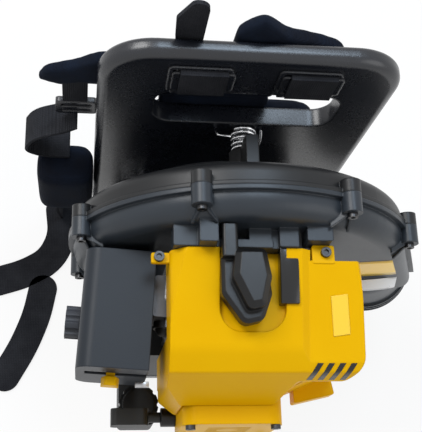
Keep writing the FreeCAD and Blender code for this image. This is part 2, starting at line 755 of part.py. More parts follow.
# ---------------------------------------------------------------- crankcase and crank group
def crankcase_half(rear):
    """One half of the crankcase, parted at the cylinder axis."""
    back = HOUSING_FRONT_Y
    body = rod(CRANKCASE_RADIUS, point(0, CRANKCASE_FRONT_Y, CRANK_Z), Y,
               back - CRANKCASE_FRONT_Y)
    deck = block(-DECK_HALF, DECK_HALF, CYLINDER_Y - DECK_HALF, CYLINDER_Y + DECK_HALF, CRANK_Z,
                 CYLINDER_FOOT_Z)
    half = CRANKCASE_PLATE_HALF
    plate = rounded(block(-half, half, back - CRANKCASE_PLATE, back, CRANK_Z - half,
                          CRANK_Z + CRANKCASE_RADIUS), Y, 12)
    shape = joined([body, deck, plate])
    chamber = rod(CRANK_CHAMBER_RADIUS, point(0, CYLINDER_Y - CRANK_CHAMBER_HALF, CRANK_Z), Y,
                  2 * CRANK_CHAMBER_HALF)
    seat = CRANK_CHAMBER_HALF + BEARING_WIDTH + SEAL_WIDTH
    bore = rod(BEARING_RADIUS, point(0, CYLINDER_Y - seat, CRANK_Z), Y, 2 * seat)
    shaft = rod(SHAFT_RADIUS + 1, point(0, CRANKCASE_FRONT_Y - 1, CRANK_Z), Y,
                back - CRANKCASE_FRONT_Y + 2)
    mouth = rod(BORE_RADIUS + SPIGOT_WALL + JOINT_GAP, point(0, CYLINDER_Y, CRANK_Z), Z,
                CRANKCASE_RADIUS + 1)
    shape = shape.cut(chamber).cut(bore).cut(shaft).cut(mouth)
    reach = 200.0
    if rear:
        return shape.common(block(-reach, reach, CYLINDER_Y, reach, 0, 2 * reach))
    return shape.common(block(-reach, reach, -reach, CYLINDER_Y, 0, 2 * reach))


def crankshaft():
    """Both half shafts with their round webs; the crank pin between them is its own piece."""
    rear_start = CYLINDER_Y + WEB_INNER_GAP
    front_start = CYLINDER_Y - WEB_INNER_GAP
    rear = [rod(WEB_RADIUS, point(0, rear_start, CRANK_Z), Y, WEB_THICK),
            rod(SHAFT_RADIUS, point(0, rear_start, CRANK_Z), Y, IMPELLER_NUT_Y + 9 - rear_start)]
    front = [rod(WEB_RADIUS, point(0, front_start, CRANK_Z), -Y, WEB_THICK),
             rod(SHAFT_RADIUS, point(0, front_start, CRANK_Z), -Y,
                 front_start - FLYWHEEL_FRONT_Y + 1)]
    return Part.makeCompound([joined(rear), joined(front)])


def impeller_nut():
    nut = hexagon(12, IMPELLER_NUT_Y, 8)
    return nut.cut(rod(SHAFT_RADIUS, point(0, IMPELLER_NUT_Y - 1, CRANK_Z), Y, 20))


def hexagon(radius, start_y, thick):
    corners = []
    for index in range(6):
        spot = rotor_point(radius, 60 * index, start_y)
        corners.append(spot)
    wire = Part.makePolygon(corners + [corners[0]])
    return Part.Face(wire).extrude(Y * thick)


def crank_bearings():
    rings = []
    for start in (CYLINDER_Y + CRANK_CHAMBER_HALF,
                  CYLINDER_Y - CRANK_CHAMBER_HALF - BEARING_WIDTH):
        rings.append(ring(BEARING_RADIUS, SHAFT_RADIUS + RUNNING_GAP, point(0, start, CRANK_Z), Y,
                          BEARING_WIDTH))
    return Part.makeCompound(rings)


def crank_seals():
    rings = []
    for start in (CYLINDER_Y + CRANK_CHAMBER_HALF + BEARING_WIDTH,
                  CYLINDER_Y - CRANK_CHAMBER_HALF - BEARING_WIDTH - SEAL_WIDTH):
        rings.append(ring(BEARING_RADIUS, SHAFT_RADIUS + RUNNING_GAP, point(0, start, CRANK_Z), Y,
                          SEAL_WIDTH))
    return Part.makeCompound(rings)


def piston():
    radius = BORE_RADIUS - PISTON_GAP
    base = point(0, CYLINDER_Y, PISTON_PIN_Z - PISTON_SKIRT)
    body = rod(radius, base, Z, PISTON_SKIRT + PISTON_CROWN)
    inside = rod(radius - 4, base, Z, PISTON_SKIRT + PISTON_CROWN - 5)
    bosses = rod(PISTON_PIN_RADIUS + 3, point(0, CYLINDER_Y - radius + 1, PISTON_PIN_Z), Y,
                 2 * radius - 2)
    slot = block(-radius, radius, CYLINDER_Y - ROD_HALF - 2, CYLINDER_Y + ROD_HALF + 2,
                 PISTON_PIN_Z - PISTON_SKIRT, PISTON_PIN_Z + PISTON_CROWN - 5)
    shape = joined([body.cut(inside), bosses.common(body).cut(slot)])
    shape = shape.cut(rod(PISTON_PIN_RADIUS, point(0, CYLINDER_Y - radius - 1, PISTON_PIN_Z), Y,
                          2 * radius + 2))
    for start in ring_heights():
        shape = shape.cut(ring(radius + 1, radius - RING_DEPTH, point(0, CYLINDER_Y, start), Z,
                               RING_HEIGHT))
    return shape


def ring_heights():
    return (CROWN_Z - 3 * RING_HEIGHT, CROWN_Z - 5.5 * RING_HEIGHT)


def piston_rings():
    rings = []
    for start in ring_heights():
        rings.append(ring(BORE_RADIUS - PISTON_GAP / 2, BORE_RADIUS - PISTON_GAP - RING_DEPTH,
                          point(0, CYLINDER_Y, start), Z, RING_HEIGHT))
    return Part.makeCompound(rings)


def piston_pin():
    half = BORE_RADIUS - 3
    return rod(PISTON_PIN_RADIUS, point(0, CYLINDER_Y - half, PISTON_PIN_Z), Y, 2 * half)


def connecting_rod():
    big_z = CRANK_Z + STROKE / 2
    start = CYLINDER_Y - ROD_HALF
    big = rod(CRANK_PIN_RADIUS + 5, point(0, start, big_z), Y, 2 * ROD_HALF)
    small = rod(PISTON_PIN_RADIUS + 3, point(0, start, PISTON_PIN_Z), Y, 2 * ROD_HALF)
    shank = block(-5, 5, start + 1, start + 2 * ROD_HALF - 1, big_z, PISTON_PIN_Z)
    shape = joined([big, small, shank])
    shape = shape.cut(rod(CRANK_PIN_RADIUS, point(0, start - 1, big_z), Y, 2 * ROD_HALF + 2))
    return shape.cut(rod(PISTON_PIN_RADIUS, point(0, start - 1, PISTON_PIN_Z), Y,
                         2 * ROD_HALF + 2))


def crank_pin():
    half = WEB_INNER_GAP - JOINT_GAP
    return rod(CRANK_PIN_RADIUS, point(0, CYLINDER_Y - half, CRANK_Z + STROKE / 2), Y, 2 * half)


# ---------------------------------------------------------------- cylinder, plug, ignition
def turned(shape):
    """Turn a piece built straight out along -X to the real direction of the intake."""
    shape.rotate(point(0, CYLINDER_Y, 0), Z, INTAKE_TURN)
    return shape


def cylinder():
    foot = rounded(block(-DECK_HALF, DECK_HALF, CYLINDER_Y - DECK_HALF, CYLINDER_Y + DECK_HALF,
                         CYLINDER_FOOT_Z, CYLINDER_FOOT_Z + CYLINDER_FOOT), Z, 8)
    axis_foot = point(0, CYLINDER_Y, CYLINDER_FOOT_Z)
    core = rod(CYLINDER_CORE_RADIUS, axis_foot, Z, CYLINDER_TOP_Z - CYLINDER_FOOT_Z)
    spigot = rod(BORE_RADIUS + SPIGOT_WALL, axis_foot - Z * SPIGOT_LENGTH, Z, SPIGOT_LENGTH)
    pieces = [foot, core, spigot]
    for index in range(FIN_COUNT):
        top = CYLINDER_TOP_Z - index * FIN_PITCH
        fin = block(-FIN_HALF, FIN_HALF, CYLINDER_Y - FIN_HALF, CYLINDER_Y + FIN_HALF,
                    top - FIN_THICK, top)
        pieces.append(rounded(fin, Z, 14))
    shape = joined(pieces)
    shape = shape.cut(turned(intake_block(INTAKE_FLANGE, FIN_HALF + 12, FLANGE_HALF + 3)))
    shape = joined([shape, turned(intake_block(BORE_RADIUS, INTAKE_FLANGE, FLANGE_HALF)),
                    exhaust_block(BORE_RADIUS, EXHAUST_FLANGE)])
    shape = shape.cut(rod(BORE_RADIUS, axis_foot - Z * (SPIGOT_LENGTH + 1), Z,
                          HEAD_Z - CYLINDER_FOOT_Z + SPIGOT_LENGTH + 1))
    shape = shape.cut(turned(rod(PORT_RADIUS, point(0, CYLINDER_Y, INTAKE_Z), -X, FIN_HALF * 2)))
    shape = shape.cut(rod(PORT_RADIUS, point(0, CYLINDER_Y, EXHAUST_Z), X, FIN_HALF * 2))
    shape = shape.cut(rod(PLUG_BODY_RADIUS, point(0, CYLINDER_Y, HEAD_Z - 1), Z, HEAD_THICK + 2))
    for x, y in foot_corners():
        shape = shape.cut(rod(SCREW_HEAD_RADIUS + 1, point(x, y, CYLINDER_FOOT_Z + CYLINDER_FOOT),
                              Z, CYLINDER_TOP_Z))
        shape = shape.cut(rod(SCREW_RADIUS, point(x, y, CYLINDER_FOOT_Z - 1), Z,
                              CYLINDER_FOOT + 2))
    return shape


def intake_block(inner, outer, half):
    return block(-outer, -inner, CYLINDER_Y - half, CYLINDER_Y + half, INTAKE_Z - half,
                 INTAKE_Z + half)


def exhaust_block(inner, outer):
    return block(inner, outer, CYLINDER_Y - FLANGE_HALF, CYLINDER_Y + FLANGE_HALF,
                 EXHAUST_Z - FLANGE_HALF, EXHAUST_Z + FLANGE_HALF)


def foot_corners():
    reach = DECK_HALF - 5.5
    return [(x, CYLINDER_Y + y) for x in (-reach, reach) for y in (-reach, reach)]


def cylinder_screws():
    screws = []
    for x, y in foot_corners():
        screws.append(screw(point(x, y, CYLINDER_FOOT_Z + CYLINDER_FOOT), -Z, CYLINDER_FOOT))
    return screws


def spark_plug():
    seat = CYLINDER_TOP_Z
    thread = rod(PLUG_BODY_RADIUS, point(0, CYLINDER_Y, HEAD_Z), Z, seat - HEAD_Z)
    hexes = rod(PLUG_HEX_RADIUS, point(0, CYLINDER_Y, seat), Z, 9)
    body = rod(PLUG_BODY_RADIUS, point(0, CYLINDER_Y, seat), Z, PLUG_BODY_RISE)
    tip = rod(PLUG_TIP_RADIUS, point(0, CYLINDER_Y, seat), Z, PLUG_TIP_RISE)
    return joined([thread, hexes, body, tip])


def plug_cap():
    """Black faceted boot that hoods the plug and stands in the notch of the cover."""
    base = prism_z(((-22, -50, 4), (17, -48, 6), (21, -86, 8), (13, -108, 8), (-4, -112, 8),
                    (-22, -86, 10)), CRANK_Z + CAP_BOTTOM, CRANK_Z + CAP_STEP)
    hood = prism_z(((-11, -49, 6), (15, -49, 6), (19, -74, 8), (13, -99, 6), (-1, -102, 6),
                    (-14, -74, 10)), CRANK_Z + CAP_STEP - 1, CRANK_Z + CAP_TOP)
    base = chamfered_top(base, CRANK_Z + CAP_STEP, 3)
    hood = chamfered_top(hood, CRANK_Z + CAP_TOP, 5)
    tail = rounded(block(CAP_TAIL_X - CAP_TAIL_HALF, CAP_TAIL_X + CAP_TAIL_HALF, -56,
                         CAP_TAIL_BACK, CRANK_Z + CAP_TAIL_LOW, CRANK_Z + CAP_TAIL_TOP), Y, 3)
    room = rod(PLUG_BODY_RADIUS + JOINT_GAP, point(0, CYLINDER_Y, CRANK_Z + CAP_BOTTOM - 1), Z,
               CYLINDER_TOP_Z + PLUG_BODY_RISE + JOINT_GAP - CRANK_Z - CAP_BOTTOM + 1)
    tip_room = rod(PLUG_TIP_RADIUS + JOINT_GAP, point(0, CYLINDER_Y, CRANK_Z + CAP_BOTTOM), Z,
                   CYLINDER_TOP_Z + PLUG_TIP_RISE + JOINT_GAP - CRANK_Z - CAP_BOTTOM)
    return joined([base, hood, tail]).cut(room).cut(tip_room)


def chamfered_top(body, top, size):
    return body.makeChamfer(size, [e for e in body.Edges if e.BoundBox.ZMin > top - 0.01])


def plug_lead():
    """Lead from the coil, round the cylinder and up into the tail of the plug cap."""
    coil_top = CRANK_Z + COIL_TOP
    behind = -31.3
    route = [point(-10, COIL_MIDDLE_Y, coil_top), point(-10, COIL_MIDDLE_Y, coil_top + 12),
             point(-34, -124, CRANK_Z + 100), point(-50, -108, CRANK_Z + 103),
             point(-53, -84, CRANK_Z + 102), point(-52, -62, CRANK_Z + 102),
             point(-46, -44, CRANK_Z + 103), point(-32, -33, CRANK_Z + 105),
             point(-18, behind, CRANK_Z + 112), point(CAP_TAIL_X, behind, CRANK_Z + 124),
             point(CAP_TAIL_X, behind, CRANK_Z + CAP_TAIL_LOW)]
    return cord("plug_lead", route, LEAD_RADIUS)


def ignition_coil():
    back = CYLINDER_Y - FIN_HALF
    body = rounded(block(-22, 8, back - COIL_THICK, back, CRANK_Z + COIL_TOP - 20,
                         CRANK_Z + COIL_TOP), Y, 3)
    legs = []
    for x in (-20, 0):
        legs.append(block(x, x + 6, back - COIL_THICK + 2, back - 2,
                          CRANK_Z + FLYWHEEL_RADIUS + 1, CRANK_Z + COIL_TOP - 10))
    return joined([body] + legs)


# ---------------------------------------------------------------- flywheel and starter
def flywheel():
    disc = rod(FLYWHEEL_RADIUS, point(0, FLYWHEEL_FRONT_Y, CRANK_Z), Y, FLYWHEEL_THICK)
    dish = ring(FLYWHEEL_RADIUS - 6, 14, point(0, FLYWHEEL_FRONT_Y + 8, CRANK_Z), Y,
                FLYWHEEL_THICK)
    hole = rod(SHAFT_RADIUS, point(0, FLYWHEEL_FRONT_Y - 1, CRANK_Z), Y, FLYWHEEL_THICK + 2)
    return disc.cut(dish).cut(hole)


def starter_pawls():
    """Two pawls on the flywheel's face that catch the pulley's cup."""
    pawls = []
    for side in (-1, 1):
        pawl = block(side * 14 - 4, side * 14 + 4, FLYWHEEL_FRONT_Y - PAWL_THICK,
                     FLYWHEEL_FRONT_Y, CRANK_Z - 9, CRANK_Z + 9)
        pawls.append(rounded(pawl, Y, 3))
    return Part.makeCompound(pawls)


def starter_shell(inset, front_inset):
    """Two boxes, wide at the flywheel and narrower at the rope pulley."""
    step_y = STARTER_BACK_Y - STARTER_REAR_LENGTH
    wide = STARTER_REAR_HALF - inset
    narrow = STARTER_FRONT_HALF - inset
    corner = STARTER_CORNER - inset
    rear = rounded(block(-wide, wide, step_y + inset, STARTER_BACK_Y, CRANK_Z - wide,
                         CRANK_Z + wide), Y, corner)
    front = rounded(block(-narrow, narrow, STARTER_FRONT_Y + front_inset, STARTER_BACK_Y,
                          CRANK_Z - narrow, CRANK_Z + narrow), Y, corner)
    return joined([rear, front])


def starter_housing():
    outer = starter_shell(0, 0)
    shape = outer.cut(starter_shell(STARTER_WALL, STARTER_WALL))
    post = rod(PULLEY_POST_RADIUS, point(0, STARTER_FRONT_Y + 1, CRANK_Z), Y,
               PULLEY_BACK_Y - STARTER_FRONT_Y - 1)
    lugs = []
    for x, z in starter_corners():
        lugs.append(rod(6, point(x, STARTER_FRONT_Y + 1, z), Y, STARTER_LENGTH - 1))
    shape = joined([shape, post] + lugs).common(outer)
    for x, z in starter_corners():
        shape = shape.cut(rod(SCREW_RADIUS, point(x, STARTER_FRONT_Y - 1, z), Y,
                              STARTER_LENGTH + 2))
    shape = shape.cut(rod(FLYWHEEL_RADIUS + 3, point(0, FLYWHEEL_FRONT_Y - 2, CRANK_Z), Y, 60))
    coil_back = CYLINDER_Y - FIN_HALF
    shape = shape.cut(block(-24, 10, coil_back - COIL_THICK - 1, coil_back + 10,
                            CRANK_Z + FLYWHEEL_RADIUS, CRANK_Z + STARTER_REAR_HALF + 1))
    shape = shape.cut(rod(GUIDE_HOLE_RADIUS, point(-STARTER_REAR_HALF, ROPE_Y, ROPE_Z), X,
                          STARTER_WALL * 6))
    for index in range(-2, 3):
        slot = block(-SLOT_HALF, SLOT_HALF, STARTER_FRONT_Y - 1, STARTER_FRONT_Y + STARTER_WALL
                     + 1, CRANK_Z + index * SLOT_PITCH - 2, CRANK_Z + index * SLOT_PITCH + 2)
        shape = shape.cut(slot.cut(rod(PULLEY_POST_RADIUS + 3, point(0, STARTER_FRONT_Y - 1,
                                                                     CRANK_Z), Y, 10)))
    return shape


def starter_corners():
    reach = STARTER_FRONT_HALF - 7.0
    return [(x, CRANK_Z + z) for x in (-reach, reach) for z in (-reach, reach)]


def starter_screws():
    screws = []
    for x, z in starter_corners():
        screws.append(screw(point(x, STARTER_FRONT_Y, z), Y, STARTER_LENGTH))
    return screws


def starter_pulley():
    start = point(0, PULLEY_FRONT_Y, CRANK_Z)
    body = rod(PULLEY_RADIUS, start, Y, PULLEY_WIDTH)
    groove = ring(PULLEY_RADIUS + 1, PULLEY_GROOVE_RADIUS, point(0, PULLEY_FRONT_Y + 2.5, CRANK_Z),
                  Y, PULLEY_WIDTH - 5)
    bore = rod(PULLEY_POST_RADIUS + RUNNING_GAP, point(0, PULLEY_FRONT_Y - 1, CRANK_Z), Y,
               PULLEY_WIDTH * 3)
    cup = ring(27, 24, point(0, PULLEY_BACK_Y, CRANK_Z), Y, PULLEY_GAP - PAWL_THICK / 2)
    return joined([body, cup]).cut(groove).cut(bore)


def rope_coil():
    """The rope wound on the pulley."""
    return ring(PULLEY_RADIUS - 1.5, PULLEY_GROOVE_RADIUS, point(0, PULLEY_FRONT_Y + 2.8, CRANK_Z),
                Y, PULLEY_WIDTH - 5.6)


def recoil_spring():
    """Flat clock spring, shown as its closed coil between pulley and front wall."""
    start = point(0, STARTER_FRONT_Y + STARTER_WALL + JOINT_GAP, CRANK_Z)
    depth = PULLEY_FRONT_Y - STARTER_FRONT_Y - STARTER_WALL - 2 * JOINT_GAP
    return ring(30, PULLEY_POST_RADIUS + JOINT_GAP, start, Y, depth)


def rope_guide():
    start = point(-STARTER_FRONT_HALF, ROPE_Y, ROPE_Z)
    collar = rod(GUIDE_RADIUS, start, -X, GUIDE_LENGTH)
    stem = rod(GUIDE_HOLE_RADIUS, start + X * STARTER_WALL, -X, STARTER_WALL + 1)
    hole = rod(ROPE_RADIUS + 0.6, start + X * 10, -X, GUIDE_LENGTH + 20)
    return joined([collar, stem]).cut(hole)


def grip_start():
    """The inner end of the grip's neck, resting on the rope guide."""
    return point(-STARTER_FRONT_HALF - GUIDE_LENGTH - JOINT_GAP, ROPE_Y, ROPE_Z)


def starter_grip():
    start = grip_start()
    neck = rod(5, start, -X, NECK_LENGTH + 2)
    left = start.x - NECK_LENGTH
    bar = rounded(block(left - GRIP_LENGTH, left, ROPE_Y - GRIP_HALF_WIDTH,
                        ROPE_Y + GRIP_HALF_WIDTH, ROPE_Z - GRIP_HALF_HEIGHT,
                        ROPE_Z + GRIP_HALF_HEIGHT), Y, 6)
    hole = rod(ROPE_RADIUS, start, -X, NECK_LENGTH + 10)
    return joined([neck, bar]).cut(hole)


def starter_rope():
    """The free end of the rope, from the pulley through the guide into the grip."""
    start = point(-ROPE_RUN_START, ROPE_Y, ROPE_Z)
    end_x = grip_start().x - NECK_LENGTH - 10
    return rod(ROPE_RADIUS, start, -X, start.x - end_x)


# ---------------------------------------------------------------- intake side
def insulator():
    body = block(-INTAKE_FLANGE - INSULATOR_LENGTH, -INTAKE_FLANGE, CYLINDER_Y - FLANGE_HALF,
                 CYLINDER_Y + FLANGE_HALF, INTAKE_Z - FLANGE_HALF, INTAKE_Z + FLANGE_HALF)
    body = rounded(body, X, 5)
    return turned(body.cut(rod(PORT_RADIUS, point(0, CYLINDER_Y, INTAKE_Z), -X, 100)))


def carburettor():
    inner = -INTAKE_FLANGE - INSULATOR_LENGTH
    outer = inner - CARB_LENGTH
    middle = (inner + outer) / 2
    body = rounded(block(outer, inner, CYLINDER_Y - CARB_HALF, CYLINDER_Y + CARB_HALF,
                         INTAKE_Z - CARB_HALF, INTAKE_Z + CARB_HALF), Z, 3)
    pump = rounded(block(outer + 1, inner - 1, CYLINDER_Y - CARB_HALF + 3,
                         CYLINDER_Y + CARB_HALF - 3, INTAKE_Z - CARB_HALF - 5,
                         INTAKE_Z - CARB_HALF), Z, 4)
    primer = rod(PRIMER_RADIUS + 2, point(middle, CYLINDER_Y - CARB_HALF + 1, PRIMER_Z), -Y, 7)
    nipple = rod(2.5, point(middle, CYLINDER_Y + 8, INTAKE_Z - CARB_HALF), -Z, 12)
    mixture = rod(3, point(middle, CYLINDER_Y - CARB_HALF + 1, INTAKE_Z + 12), -Y, 9)
    shape = joined([body, pump, primer, nipple, mixture])
    shape = shape.cut(rod(PORT_RADIUS, point(0, CYLINDER_Y, INTAKE_Z), -X, 100))
    shape = shape.cut(rod(THROTTLE_PIN + RUNNING_GAP, point(middle, CYLINDER_Y,
                                                            INTAKE_Z - CARB_HALF + 4), Z, 60))
    pocket = rod(PRIMER_RADIUS + JOINT_GAP, point(middle, CYLINDER_Y - CARB_HALF + 5, PRIMER_Z),
                 -Y, 30)
    shape = shape.cut(pocket)
    return turned(shape)


def carb_middle():
    return -INTAKE_FLANGE - INSULATOR_LENGTH - CARB_LENGTH / 2


def throttle_lever():
    """Throttle shaft, its butterfly and the cable arm on top, one moving piece."""
    middle = carb_middle()
    top = INTAKE_Z + CARB_HALF + JOINT_GAP
    shaft = rod(THROTTLE_PIN, point(middle, CYLINDER_Y, INTAKE_Z - CARB_HALF + 5), Z,
                top + 3 - INTAKE_Z + CARB_HALF - 5)
    disc = rod(PORT_RADIUS - 0.3, point(middle - 0.75, CYLINDER_Y, INTAKE_Z), X, 1.5)
    arm = rounded(block(middle - 4, middle + 4, CYLINDER_Y - 5, CYLINDER_Y + THROTTLE_ARM, top,
                        top + 3), Z, 3)
    return turned(joined([shaft, disc, arm]))


def primer_bulb():
    start = point(carb_middle(), CYLINDER_Y - CARB_HALF - 1, PRIMER_Z)
    bulb = rod(PRIMER_RADIUS, start, -Y, 11)
    front = [e for e in bulb.Edges if e.BoundBox.YMax < start.y - 10.9]
    return turned(bulb.makeFillet(6, front))


def filter_base():
    """Flat carrier screwed to the carburettor, with the two lugs that hold the choke pin."""
    inner = -FILTER_INNER
    gap = FILTER_WALL + JOINT_GAP
    plate = block(inner - FILTER_BASE_THICK, inner, CYLINDER_Y - FILTER_FRONT + gap,
                  CYLINDER_Y + FILTER_BACK - gap, CRANK_Z + FILTER_BOTTOM + gap,
                  CRANK_Z + FILTER_BOTTOM + FILTER_HEIGHT - gap)
    lugs = []
    for side in (-1, 1):
        middle = INTAKE_Z + side * CHOKE_HUB_HALF
        far = middle + side * 4
        lugs.append(block(-CHOKE_X - 6, inner, CHOKE_Y - 6, CHOKE_Y + 6, min(middle, far),
                          max(middle, far)))
    shape = joined([plate] + lugs)
    shape = shape.cut(rod(PORT_RADIUS, point(0, CYLINDER_Y, INTAKE_Z), -X, 100))
    shape = shape.cut(rod(KNOB_STUD_RADIUS + 0.2, knob_start() + X * 80, -X, 100))
    shape = shape.cut(rod(CHOKE_PIN_RADIUS, point(-CHOKE_X, CHOKE_Y, INTAKE_Z - 30), Z, 60))
    return turned(shape)


def choke_pin():
    half = CHOKE_HUB_HALF + 4
    return turned(rod(CHOKE_PIN_RADIUS, point(-CHOKE_X, CHOKE_Y, INTAKE_Z - half), Z, 2 * half))


def choke_lever():
    """Lever with its thumb tab in front, and the flap that shuts the carburettor's mouth."""
    half = CHOKE_HUB_HALF - JOINT_GAP
    hub = rod(CHOKE_PIN_RADIUS + 3, point(-CHOKE_X, CHOKE_Y, INTAKE_Z - half), Z, 2 * half)
    front = CYLINDER_Y - FILTER_FRONT - CHOKE_TAB_OUT
    arm = block(-CHOKE_X - 4, -CHOKE_X + 4, front, CHOKE_Y, INTAKE_Z - 2, INTAKE_Z + 2)
    tab = prism_y(((-CHOKE_X - 8.5, INTAKE_Z - 7, 2), (-CHOKE_X + 8.5, INTAKE_Z - 7, 2),
                   (-CHOKE_X + 5, INTAKE_Z + 6, 2), (-CHOKE_X - 5, INTAKE_Z + 6, 2)),
                  front - 1, front + CHOKE_TAB_OUT - CHOKE_TAB_GAP)
    flap_x = -FILTER_INNER - FILTER_BASE_THICK - CHOKE_FLAP_LIFT
    flap = rod(PORT_RADIUS + 2, point(flap_x - 1, CYLINDER_Y, INTAKE_Z), X, 2)
    flap.rotate(point(flap_x, CYLINDER_Y, INTAKE_Z), Z, CHOKE_TRAVEL)
    flap_middle = point(flap_x - 1, CYLINDER_Y, 0)
    reach = (flap_middle - point(-CHOKE_X, CHOKE_Y, 0)).Length
    link = block(-2.5, 2.5, 0, reach, INTAKE_Z - 2, INTAKE_Z + 2)
    turn = math.degrees(math.atan2(-CHOKE_X - flap_middle.x, CYLINDER_Y - CHOKE_Y))
    link.rotate(point(0, 0, 0), Z, turn)
    link.translate(point(-CHOKE_X, CHOKE_Y, 0))
    shape = joined([hub, arm, tab, flap, link])
    return turned(shape.cut(rod(CHOKE_PIN_RADIUS + RUNNING_GAP, point(-CHOKE_X, CHOKE_Y, 0), Z,
                                400)))


def filter_element():
    inner = -FILTER_OUTER + FILTER_WALL + JOINT_GAP
    margin = FILTER_WALL + 9
    pad = block(inner, inner + ELEMENT_THICK, CYLINDER_Y - FILTER_FRONT + margin,
                CYLINDER_Y + FILTER_BACK - margin, CRANK_Z + FILTER_BOTTOM + margin,
                CRANK_Z + FILTER_BOTTOM + FILTER_HEIGHT - margin)
    pad = rounded(pad, X, 9)
    return turned(pad.cut(rod(KNOB_STUD_RADIUS + 1, knob_start(), X, 200)))


def filter_shell(inset):
    """Outer volume of the filter cover, open towards the carburettor."""
    shape = block(-FILTER_OUTER + inset, -FILTER_INNER, CYLINDER_Y - FILTER_FRONT + inset,
                  CYLINDER_Y + FILTER_BACK - inset, CRANK_Z + FILTER_BOTTOM + inset,
                  CRANK_Z + FILTER_BOTTOM + FILTER_HEIGHT - inset)
    outer_edges = []
    for edge in shape.Edges:
        box = edge.BoundBox
        if box.XMax < -FILTER_OUTER + inset + 0.01 and box.YLength > 1:
            outer_edges.append(edge)
    return shape.makeFillet(FILTER_CORNER - inset, outer_edges)


def filter_cover():
    shape = filter_shell(0).cut(filter_shell(FILTER_WALL))
    inner_room = block(-FILTER_OUTER + FILTER_CORNER, -FILTER_INNER + 1,
                       CYLINDER_Y - FILTER_FRONT + FILTER_WALL,
                       CYLINDER_Y + FILTER_BACK - FILTER_WALL,
                       CRANK_Z + FILTER_BOTTOM + FILTER_WALL,
                       CRANK_Z + FILTER_BOTTOM + FILTER_HEIGHT - FILTER_WALL)
    front = CYLINDER_Y - FILTER_FRONT
    slot = block(-CHOKE_X - CHOKE_SLOT_HALF, -FILTER_INNER + 1, front - 1,
                 front + FILTER_WALL + 1, INTAKE_Z - CHOKE_SLOT_RISE, INTAKE_Z + CHOKE_SLOT_RISE)
    stud_hole = rod(KNOB_STUD_RADIUS + 0.5, knob_start() - X * 20, X, 60)
    return turned(shape.cut(inner_room).cut(slot).cut(stud_hole))


def knob_start():
    """Where the knob's inner face meets the cover."""
    return point(-FILTER_OUTER - JOINT_GAP, CYLINDER_Y - KNOB_FORWARD, CRANK_Z + KNOB_RISE)


def filter_knob():
    start = knob_start()
    body = rod(KNOB_RADIUS, start, -X, KNOB_LENGTH)
    for index in range(KNOB_FLUTES):
        turn = 2 * math.pi * index / KNOB_FLUTES
        flute = rod(3.5, start + Y * (KNOB_RADIUS * 1.08 * math.cos(turn))
                    + Z * (KNOB_RADIUS * 1.08 * math.sin(turn)), -X, KNOB_LENGTH)
        body = body.cut(flute)
    stud = rod(KNOB_STUD_RADIUS, start - X * 2, X, FILTER_WIDTH + JOINT_GAP + 2)
    return turned(joined([body, stud]))


# ---------------------------------------------------------------- exhaust side
def muffler_gasket():
    start = EXHAUST_FLANGE
    plate = block(start, start + GASKET_THICK, CYLINDER_Y - FLANGE_HALF, CYLINDER_Y + FLANGE_HALF,
                  EXHAUST_Z - FLANGE_HALF, EXHAUST_Z + FLANGE_HALF)
    return plate.cut(rod(PORT_RADIUS, point(0, CYLINDER_Y, EXHAUST_Z), X, 100))


def muffler():
    outer = rounded(block(MUFFLER_LEFT, MUFFLER_LEFT + MUFFLER_WIDTH, MUFFLER_FRONT, MUFFLER_BACK,
                          CRANK_Z + MUFFLER_BOTTOM, CRANK_Z + MUFFLER_TOP), X, 10)
    wall = 1.5
    inner = rounded(block(MUFFLER_LEFT + wall, MUFFLER_LEFT + MUFFLER_WIDTH - wall,
                          MUFFLER_FRONT + wall, MUFFLER_BACK - wall,
                          CRANK_Z + MUFFLER_BOTTOM + wall, CRANK_Z + MUFFLER_TOP - wall), X,
                    10 - wall)
    spout = rod(9, point(MUFFLER_LEFT + MUFFLER_WIDTH / 2 + 8, MUFFLER_FRONT + 2,
                         CRANK_Z + MUFFLER_TOP - 28), -Y, 9)
    shape = joined([outer, spout]).cut(inner)
    shape = shape.cut(rod(PORT_RADIUS, point(MUFFLER_LEFT - 1, CYLINDER_Y, EXHAUST_Z), X,
                          wall + 2))
    return shape.cut(rod(7.5, point(MUFFLER_LEFT + MUFFLER_WIDTH / 2 + 8, MUFFLER_FRONT + 4,
                                    CRANK_Z + MUFFLER_TOP - 28), -Y, 20))


# ---------------------------------------------------------------- engine cover
def cover_profile(inset):
    """Side profile of the cover: its top falls towards the front, then down to the nose."""
    top = CRANK_Z - inset
    low = CRANK_Z + COVER_BOTTOM - inset
    back = COVER_BACK + inset
    nose = COVER_NOSE + inset
    return ((back, low, 0), (back, top + COVER_TOP_BACK, 0), (COVER_FOLD, top + COVER_TOP_FOLD, 30),
            (COVER_CREASE + inset / 2, top + COVER_TOP_CREASE, 5), (nose, top + COVER_TOP_NOSE, 5),
            (nose, low, 0))


def step_tool(inset):
    """What is taken off the top right of the step, along the slope of the top."""
    start = COVER_BACK + 1
    slope = (COVER_TOP_BACK - COVER_TOP_FOLD) / (COVER_BACK - COVER_FOLD)
    top = CRANK_Z + COVER_TOP_BACK + slope - inset
    corners = [point(STEP_X - inset, start, top), point(STEP_X + STEP_WIDTH, start, top - STEP_DROP),
               point(COVER_RIGHT + 9, start, top - STEP_DROP), point(COVER_RIGHT + 9, start, top + 9),
               point(STEP_X - inset, start, top + 9)]
    run = COVER_CREASE - start
    return Part.Face(Part.makePolygon(corners + corners[:1])).extrude(point(0, run, run * slope))


